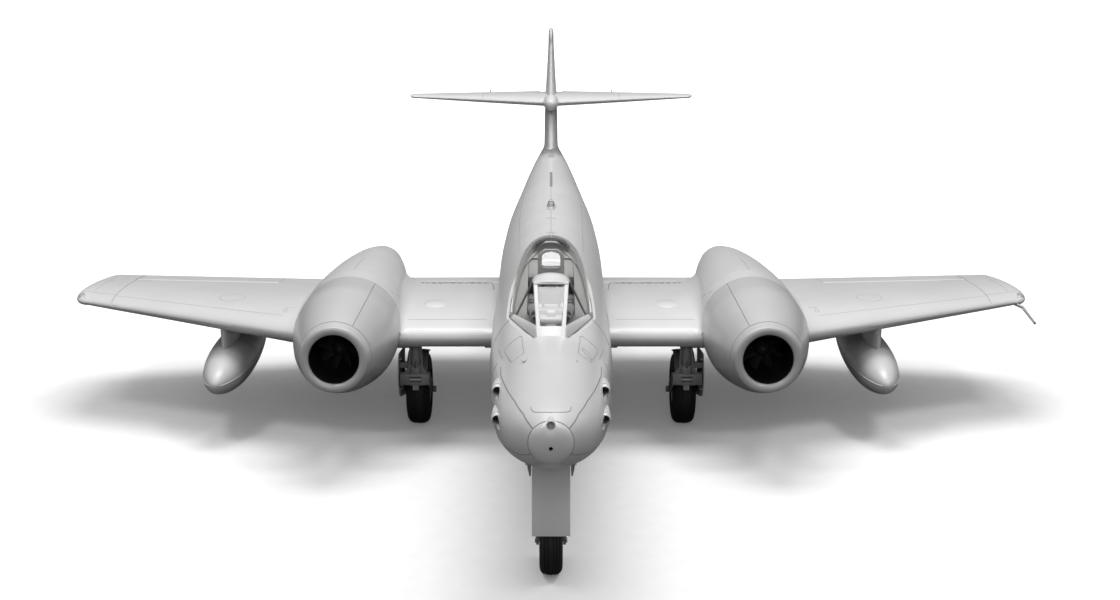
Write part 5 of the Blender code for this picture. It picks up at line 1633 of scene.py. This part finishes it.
def build_seat():
    pan = side_prism("pan", [(460, 210.4), (460, 219), (503, 216), (511, 271), (519, 271), (514, 210.4)],
                     -16.5, 16.5,
                     ("cockpit",), bevel=0.8)
    sides = [side_prism("wing_side",
                        [(468, 212), (470, 232), (500, 236), (512, 270), (518, 270), (514, 212)],
                        side * 16.4, side * 18.4, ("cockpit",), bevel=0.6) for side in (-1, 1)]
    cushion = pad("cushion", (0, 482, 220.5), (30, 38, 8))
    back = pad("back", (0, 504.5, 243), (28, 8, 38), lean=0.16)
    shell = [pan, *sides, cushion, back]
    rings = []
    for t in steps(0, 1, 10):
        half = 17.5 * (1 - max(0.0, (t - 0.72) / 0.28) ** 2.4 * 0.45)
        rings.append([at(half * math.copysign(abs(math.cos(a)) ** 0.4, math.cos(a)),
                         mix(517, 523, t) + 3.6 * math.copysign(abs(math.sin(a)) ** 0.7, math.sin(a)),
                         mix(268, 305, t)) for a in steps(0, 2 * math.pi, 40)[:-1]])
    shell.append(loft("head_box", rings, ("cockpit",)))
    loop = []
    for a in steps(0, 2 * math.pi, 48)[:-1]:
        c, s = math.cos(a), math.sin(a)
        x = 11.6 * math.copysign(abs(c) ** 0.45, c)
        z = 4.6 * math.copysign(abs(s) ** 0.6, s)
        loop.append(at(x, 510.5, 287.5 + z))
    shell.append(tube("head_loop", loop, 2.0, ("shell",), closed=True))
    for side in (-1, 1):
        shell.append(rod("loop_leg", at(side * 9, 516, 284), at(side * 10, 511, 286.5), 1.5, ("shell",),
                         14))
        strap_path = [(side * 6, 512, 271), (side * 6.2, 503, 264), (side * 6.6, 500, 250),
                      (side * 8, 498.5, 236),
                      (side * 10, 492, 227), (side * 12, 486, 225.6)]
        rings = []
        for x, s, z in strap_path:
            rings.append([at(x - 2.1, s - 0.2, z + 0.5), at(x + 2.1, s - 0.2, z + 0.5),
                          at(x + 2.1, s + 0.5, z - 0.2),
                          at(x - 2.1, s + 0.5, z - 0.2)])
        shell.append(loft("strap", rings, ("strap",)))
    shell.append(box("buckle", (-3, 3), (486, 490), (224.5, 227), ("steel",), bevel=0.6))
    add("pilot_seat", joined("pilot_seat", shell), stands_for=("seat",))


# ---------------------------------------------------------------- landing gear

def tyre_mesh(name, radius, half_width, hub_radius, station, height, x, ribs):
    """A round-shouldered tyre with ribs around its tread and a moulded side wall."""
    profile = []
    for k in range(73):
        angle = math.pi * k / 72
        across = half_width * math.copysign(abs(math.cos(angle)) ** 0.66, math.cos(angle))
        out = hub_radius + (radius - hub_radius) * (math.sin(angle) ** 0.46 if 0 < k < 72 else 0.0)
        spread = abs(across) / half_width
        if spread < 0.72:
            phase = (across / half_width / 0.72 * (ribs / 2)) % 1.0
            if phase > 0.78:
                out -= 0.75
        profile.append((x + across, max(out, hub_radius + 0.3)))
    for across in (-half_width * 0.86, 0.0, half_width * 0.86):
        profile.append((x + across, hub_radius + 0.3))
    return turned(name, profile, along_x(station, height), ("tyre",), 96, closed=True)


def hub_mesh(name, radius, half_width, station, height, x):
    place = along_x(station, height)
    rim = [(x - half_width, radius * 0.96), (x - half_width, radius), (x + half_width, radius),
           (x + half_width, radius * 0.96), (x + half_width - 1.2, radius * 0.90),
           (x + half_width - 3.4, radius * 0.80),
           (x + half_width - 3.8, radius * 0.42), (x + half_width - 1.6, radius * 0.34),
           (x + half_width - 0.8, 4.2),
           (x + half_width - 0.8, 3.7), (x - half_width + 0.8, 3.7), (x - half_width + 0.8, 4.2),
           (x - half_width + 1.6, radius * 0.34), (x - half_width + 3.8, radius * 0.42),
           (x - half_width + 3.4, radius * 0.80), (x - half_width + 1.2, radius * 0.90)]
    disc = turned("disc", rim, place, ("door",), 64, closed=True)
    holes = []
    for k in range(8):
        angle = 2 * math.pi * k / 8
        r = radius * 0.62
        centre_y, centre_z = station + r * math.sin(angle), height + r * math.cos(angle)
        holes.append(rod("hole", at(x - half_width - 4, centre_y, centre_z),
                         at(x + half_width + 4, centre_y, centre_z),
                         radius * 0.085, ("line",), 16))
    disc = carve(disc, *holes)
    bolts = []
    for k in range(6):
        angle = 2 * math.pi * (k + 0.5) / 6
        y, z = station + radius * 0.40 * math.sin(angle), height + radius * 0.40 * math.cos(angle)
        for end in (-1, 1):
            bolts.append(rod("bolt", at(x + end * (half_width - 3.9), y, z),
                             at(x + end * (half_width - 2.4), y, z),
                             radius * 0.045, ("steel",), 6))
    return joined(name, [disc, *bolts])


def build_nose_gear():
    s, axle, pivot = NOSE_LEG_STATION, NOSE_AXLE_HEIGHT, NOSE_PIVOT_HEIGHT
    parts = [rod("pivot", at(-20, s, pivot), at(20, s, pivot), 6, ("gear",), 32, bevel=0.8),
             rod("barrel", at(0, s, 164), at(0, s, 98), 7.0, ("gear",), 40, bevel=0.6),
             rod("gland", at(0, s, 100), at(0, s, 93.3), 8.4, ("gear",), 40, bevel=0.6),
             rod("band", at(0, s, 140), at(0, s, 136), 8.0, ("gear",), 40, bevel=0.4),
             rod("band_low", at(0, s, 118), at(0, s, 115), 7.8, ("gear",), 40, bevel=0.4)]
    for z0, z1, front in ((122, 128, 148.5), (100, 106, 144.5)):
        parts.append(box("lug", (-3.6, 3.6), (front, s), (z0, z1), ("gear",), bevel=0.6))
    for side in (-1, 1):
        parts.append(rod("brace", at(side * 16, s + 2, 163), at(side * 3, s + 1, 122), 2.2, ("gear",), 16))
    add("nose_oleo", joined("nose_oleo", parts), "nose_gear", ("nose_leg",))

    parts = [rod("piston", at(0, s, 93.0), at(0, s, 84), 6.2, ("steel",), 36),
             box("bridge", (-17.2, 17.2), (s - 8, s + 8), (83.2, 88.4), ("gear",), bevel=1.6)]
    for side in (-1, 1):
        outline = [(s - 6.6, 86), (s - 5.4, 52), (s - 7.2, 43), (s - 5.6, 36.4), (s, 33.6), (s + 5.6, 36.4),
                   (s + 7.2, 43), (s + 5.4, 52), (s + 6.6, 86)]
        parts.append(side_prism("arm", outline, side * 13.9, side * 17.0, ("gear",), bevel=0.7))
        parts.append(rod("cap", at(side * 16.8, s, axle), at(side * 18.6, s, axle), 4.6, ("steel",), 24,
                         bevel=0.5))
    parts.append(rod("axle", at(-18, s, axle), at(18, s, axle), 3.5, ("steel",), 24))
    add("nose_fork_skin", joined("nose_fork_skin", parts), "nose_steering", ("nose_fork",))

    add("nose_tyre_tread", tyre_mesh("nose_tyre_tread", 41, 13.4, 22, s, axle, 0, 6), "nose_wheel",
        ("nose_tyre",),
        crease=50)
    add("nose_wheel_hub", hub_mesh("nose_wheel_hub", 22, 11.2, s, axle, 0), "nose_wheel", ("nose_hub",))

    plate = side_prism("plate", [(151, 145.5), (134.5, 66), (133.2, 66.2), (149.6, 145.5)], -21.4, 21.4,
                       ("leg_door",), 0.3)
    ribs = [side_prism("rib", [(151.2, 139), (147.2, 120), (149.4, 120), (153.2, 139)], side * 12 - 1,
                       side * 12 + 1,
                       ("door",)) for side in (-1, 1)]
    long_rib = [(138.4, 72), (146, 112), (147.6, 111.6), (139.8, 71.6)]
    ribs += [side_prism("rib", long_rib, *ends, ("door",)) for ends in ((-15, -13.4), (13.4, 15))]
    add("nose_leg_door_skin", joined("nose_leg_door_skin", [plate, *ribs]), "nose_gear", ("nose_leg_door",))
    for side, label in SIDES:
        heights = []
        for st in NOSE_DOOR_STATIONS:
            half_width, top, bottom = hull_size(st)
            below = (top - bottom) / 2 * math.sqrt(1 - (NOSE_BAY_HALF_WIDTH / half_width) ** 2)
            heights.append((top + bottom) / 2 - below - 1)
        section = [(0.6, -12.5), (0.6, 0.6), (-7.8, 0.6), (-7.8, 6.7), (-12.2, 6.7), (-12.2, 1.7),
                   (-9.0, 1.7),
                   (-9.0, -0.6), (-0.6, -0.6), (-0.6, -12.5)]
        rings = [[at(side * (NOSE_DOOR_HINGE + a), st, h + up) for a, up in section]
                 for st, h in zip(NOSE_DOOR_STATIONS, heights)]
        leaf = loft("leaf", rings, ("door",))
        tray = [(28.9, 1.0), (28.2, -8.0), (26.4, -19.0), (24.8, -26.0), (23.0, -26.0), (22.6, -12.0),
                (22.4, 1.0)]
        outer = tray[:5] + [(26.0, -18.6), (27.4, -8.0), (27.7, 1.0)]
        for outline, ends in ((tray, (196.2, 198.4)), (outer, (198.0, 216.0))):
            rings = [[at(side * a, st,
                         mix(*heights, (st - NOSE_DOOR_STATIONS[0]) / 149) + up * (1.0 if st < 210
                                                                                   else 0.55))
                      for a, up in outline] for st in ends]
            leaf = joined("leaf", [leaf, loft("tray", rings, ("door",))])
        studs = [rod("pin", at(side * NOSE_DOOR_HINGE, mix(*NOSE_DOOR_STATIONS, t), mix(*heights, t)),
                     at(side * NOSE_DOOR_HINGE, mix(*NOSE_DOOR_STATIONS, t) + 9, mix(*heights, t + 0.06)),
                     1.3, ("gear",), 14)
                 for t in (0.06, 0.46, 0.88)]
        name = "nose_door_leaf_" + label
        add(name, joined(name, [leaf, *studs]), "nose_door_" + label, ("nose_bay_door_" + label,))

    add("nose_bay_lip",
        box("nose_bay_lip", (-21.2, 21.2), (153, 169), (142.4, 149), ("leg_door",), bevel=1.0))
    top = NOSE_BAY_ROOF
    roof = box("roof", (-31, 31), (172, 352), (top - 1, top + 1), ("bay",))
    edge = [(172, 163), (352, 139), (352, top), (172, top)]
    walls = [side_prism("wall", edge, side * 31, side * 33, ("bay",)) for side in (-1, 1)]
    walls += [box("end", (-31, 31), (st, st + 2), (zz, top), ("bay",)) for st,
              zz in ((170, 152), (352, 128))]
    ribs = [box("rib", (-30.8, 30.8), (st, st + 2.4), (top - 3, top - 0.8), ("bay",))
            for st in steps(200, 330, 5)]
    add("nose_bay_liner", joined("nose_bay_liner", [roof, *walls, *ribs]))


def build_main_gear(side, label):
    x, s, axle = side * MAIN_WHEEL_X, MAIN_WHEEL_STATION, MAIN_AXLE_HEIGHT
    pivot, foot = at(x, 672, MAIN_PIVOT_HEIGHT), at(x, 660.5, 68)
    parts = [rod("barrel", at(x, 657, MAIN_PIVOT_HEIGHT), at(x, 691, MAIN_PIVOT_HEIGHT), 6.5, ("gear",),
                 32, bevel=0.8),
             rod("strut", pivot, mix(pivot, foot, 0.66), 7.2, ("gear",), 36, bevel=0.6),
             rod("gland", mix(pivot, foot, 0.60), mix(pivot, foot, 0.68), 8.2, ("gear",), 36, bevel=0.5),
             rod("piston", mix(pivot, foot, 0.66), foot, 5.4, ("steel",), 32)]
    inboard, outboard = 19.8, 22.5
    bridge = [(x - side * inboard, 655.5), (x - side * 8, 651.5), (x + side * 8, 651.5),
              (x + side * outboard, 655.5),
              (x + side * outboard, 665.5), (x - side * inboard, 665.5)]
    ring = [at(px, ps, 77) for px, ps in bridge]
    casting = prism("bridge", ring, Vector((0, 0, 0.0165)), ("gear",), 1.2)
    window = box("window", (x - 8, x + 8), (640, 655), (81, 90), ("line",), bevel=1.0)
    parts.append(carve(casting, window))
    parts.append(box("crossbar", (x - 8.2, x + 8.2), (652, 656), (84.5, 87), ("door",), bevel=0.5))
    parts.append(rod("knuckle", at(x, 661, 92), at(x, 657, 104), 9.0, ("gear",), 28, end_radius=7.0,
                     bevel=0.8))
    for inner, outer in ((-inboard, -17.4), (18.2, outboard)):
        arm = [(656, 90), (665, 92), (684, 82), (s + 6.5, 60.0), (s + 6.5, 47.4), (s, 46), (706, 49),
               (676, 66),
               (656, 76)]
        parts.append(side_prism("arm", arm, x + side * inner, x + side * outer, ("gear",), 0.7))
    guard = []
    for t in steps(0, 1, 16):
        angle = math.radians(mix(158, 62, t))
        r = 56.2
        centre_s, centre_z = s + r * math.cos(angle), axle + r * math.sin(angle)
        guard.append([at(x + side * w, centre_s - 1.3 * (w / 16) ** 2 * -math.cos(angle),
                         centre_z - 1.3 * (w / 16) ** 2) for w in steps(-15, 15, 10)])
    parts.append(sheet("guard", guard, 1.4, ("gear",)))
    parts.append(rod("axle", at(x - side * inboard, s, axle), at(x + side * (outboard + 1.5), s, axle),
                     3.5, ("steel",), 24))
    parts.append(rod("axle_cap", at(x + side * outboard, s, axle),
                     at(x + side * (outboard + 1.5), s, axle), 6.0,
                     ("steel",), 24, bevel=0.4))
    parts.append(rod("nub", at(x - side * inboard, s, axle - 3),
                     at(x - side * (inboard + 4.5), s, axle - 3), 4.6, ("gear",), 24,
                     bevel=0.8))
    parts.append(box("lug", (x, x + side * 23.7), (668, 676), (98, 106), ("gear",), bevel=0.6))
    link = [at(x, 657, 112), at(x, 653.6, 102), at(x, 655, 92)]
    parts.append(tube("link", link, 1.8, ("gear",), 12))
    for end in (-1, 1):
        parts.append(rod("side_stay", at(x + end * 7, 668, 132), at(x + end * 10, 662, 92), 1.8, ("gear",),
                         14))
        web = [at(x + end * 6, 660, 108), at(x + end * 17, 659, 93), at(x + end * 6, 658, 90)]
        parts.append(prism("web", web, Vector((0, 0.003, 0)), ("gear",)))
    name = "main_oleo_" + label
    add(name, joined(name, parts), "main_gear_" + label, ("main_leg_" + label,))

    name = "main_tyre_tread_" + label
    add(name, tyre_mesh(name, 53, 16.9, 27, s, axle, x, 8), "main_wheel_" + label, ("main_tyre_" + label,),
        crease=50)
    name = "main_wheel_hub_" + label
    add(name, hub_mesh(name, 27, 15.0, s, axle, x), "main_wheel_" + label, ("main_hub_" + label,))

    rows = []
    for t in steps(0, 1, 26):
        z = mix(120.5, 51, t)
        if t > 0.62:
            half = 24 * math.sqrt(1 - ((t - 0.62) / 0.39) ** 2)
        else:
            half = 24 * mix(0.8, 1.0, t / 0.62) ** 0.5
        rows.append([at(x + side * (24.4 + 1.6 * math.sin(math.pi * t) ** 0.5 - DOOR_TOE * (k + 1) / 2),
                        688 + half * k, z)
                     for k in steps(-1, 1, 14)])
    plate = thick_grid("door", rows, Vector((-side * 1.4 * MM, 0, 0)), ("door",))
    ribs = [box("rib", (x + side * 20.6, x + side * 23.6), (668, 682), (z, z + 1.6), ("door",))
            for z in (66, 84, 110)]
    name = "main_door_skin_" + label
    add(name, joined(name, [plate, *ribs]), "main_gear_" + label, ("main_door_" + label,))


# ---------------------------------------------------------------- small fittings

def build_fittings():
    bend, head = at(693.5, 752, 165.5), at(692, 684, 160)
    parts = [rod("arm", at(687, 768, 166.8), bend, 2.7, ("pitot",), 20, end_radius=2.3),
             rod("tube", bend, head, 2.2, ("pitot",), 24, end_radius=1.8),
             rod("collar", mix(bend, head, 0.12), mix(bend, head, 0.2), 2.4, ("pitot",), 24, bevel=0.3),
             rod("bore", head, head + (bend - head) * 0.004, 1.0, ("black",), 16)]
    add("air_data_probe", joined("air_data_probe", parts), stands_for=("pitot_tube",))
    for side, label in SIDES:
        spot = wing_spot(OUTER_WING, side)
        lens = blister("lens", spot, 697, 780, 5.0, 8.0, 1.6, look="lamp")
        add("tip_lamp_" + label, lens)
        spot_line(spot, [(690, 771), (696, 782), (701, 800)], width=0.8)
    for node, look in (("battery", "pack"), ("nose_weight", "brass"), ("wing_spar", "black")):
        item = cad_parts[node]
        item.data.materials.clear()
        item.data.materials.append(LOOKS[look])


# ---------------------------------------------------------------- stage, light and camera

def build_stage():
    bpy.ops.mesh.primitive_plane_add(size=30, location=(0, 4, 0))
    floor = bpy.context.object
    floor.name = "floor"
    material, tree, shader = node_tree("floor_white")
    speck = noise_node(tree, 40.0)
    tone = ramp_node(tree, speck.outputs["Fac"], grey(0.80), grey(0.82))
    tree.links.new(tone.outputs["Color"], shader.inputs["Base Color"])
    shader.inputs["Roughness"].default_value = 0.8
    shader.inputs["Specular IOR Level"].default_value = 0.0
    shader.inputs["Emission Color"].default_value = (1.0, 1.0, 1.0, 1.0)
    distance = tree.nodes.new("ShaderNodeCameraData")
    haze = tree.nodes.new("ShaderNodeMapRange")
    haze.inputs["From Min"].default_value = 2.6
    haze.inputs["From Max"].default_value = 4.4
    haze.inputs["To Min"].default_value = 0.10
    haze.inputs["To Max"].default_value = 1.0
    tree.links.new(distance.outputs["View Distance"], haze.inputs["Value"])
    tree.links.new(haze.outputs["Result"], shader.inputs["Emission Strength"])
    dull = tree.nodes.new("ShaderNodeBsdfDiffuse")
    dull.inputs["Color"].default_value = grey(0.16)
    path = tree.nodes.new("ShaderNodeLightPath")
    choice = tree.nodes.new("ShaderNodeMixShader")
    tree.links.new(path.outputs["Is Camera Ray"], choice.inputs["Fac"])
    tree.links.new(dull.outputs["BSDF"], choice.inputs[1])
    tree.links.new(shader.outputs["BSDF"], choice.inputs[2])
    tree.links.new(choice.outputs["Shader"], tree.nodes["Material Output"].inputs["Surface"])
    floor.data.materials.append(material)

    world = bpy.data.worlds.new("studio")
    bpy.context.scene.world = world
    world.use_nodes = True
    studio = world.node_tree
    sky = studio.nodes["Background"]
    coords = studio.nodes.new("ShaderNodeTexCoord")
    split = studio.nodes.new("ShaderNodeSeparateXYZ")
    studio.links.new(coords.outputs["Generated"], split.inputs["Vector"])
    dome = studio.nodes.new("ShaderNodeValToRGB")
    dome.color_ramp.elements[0].position = 0.53
    dome.color_ramp.elements[0].color = grey(0.06)
    dome.color_ramp.elements[1].position = 0.84
    dome.color_ramp.elements[1].color = grey(0.90)
    rise = studio.nodes.new("ShaderNodeMapRange")
    rise.inputs["From Min"].default_value = -1.0
    studio.links.new(split.outputs["Z"], rise.inputs["Value"])
    studio.links.new(rise.outputs["Result"], dome.inputs["Fac"])
    eye = studio.nodes.new("ShaderNodeLightPath")
    view = studio.nodes.new("ShaderNodeMix")
    view.data_type = "RGBA"
    studio.links.new(eye.outputs["Is Camera Ray"], view.inputs["Factor"])
    studio.links.new(dome.outputs["Color"], view.inputs["A"])
    view.inputs["B"].default_value = (1.6, 1.6, 1.6, 1.0)
    studio.links.new(view.outputs["Result"], sky.inputs["Color"])
    sky.inputs["Strength"].default_value = 0.66

    def lamp(name, place, target, size, power, size_y=None):
        light = bpy.data.lights.new(name, "AREA")
        light.shape = "RECTANGLE"
        light.size = size
        light.size_y = size_y or size
        light.energy = power
        item = bpy.data.objects.new(name, light)
        item.location = place
        item.rotation_euler = (Vector(target) - Vector(place)).to_track_quat("-Z", "Y").to_euler()
        bpy.context.scene.collection.objects.link(item)

    lamp("key", (0.0, 0.5, 2.6), (0.0, 0.1, 0.15), 1.7, 47, 1.1)
    lamp("left_top", (-1.1, -0.7, 2.2), (-0.1, -0.1, 0.15), 0.5, 9)
    lamp("right_top", (1.1, -0.7, 2.2), (0.1, -0.1, 0.15), 0.5, 11)
    lamp("front", (0.0, -2.7, 1.3), (0.0, 0.0, 0.2), 1.0, 6)

    camera = bpy.data.objects.new("camera", bpy.data.cameras.new("camera"))
    camera.location = (0.0, -2.37107, 0.76884)
    camera.rotation_euler = (math.radians(90 - 14.5909), 0.0, 0.0)
    camera.data.sensor_width = 36.0
    camera.data.lens = 51.43
    camera.data.shift_x = 0.008
    bpy.context.scene.collection.objects.link(camera)
    bpy.context.scene.camera = camera
    bpy.context.scene.view_settings.view_transform = "Standard"


build_fuselage()
build_fuselage_lines()
build_cannons()
build_spine()
for wing_side, wing_label in SIDES:
    build_wing(wing_side, wing_label)
    build_nacelle(wing_side, wing_label)
    build_tank(wing_side, wing_label)
    build_main_gear(wing_side, wing_label)
build_tail()
build_canopy()
build_windscreen()
build_cockpit()
build_nose_gear()
build_fittings()
finish_lines()
build_stage()
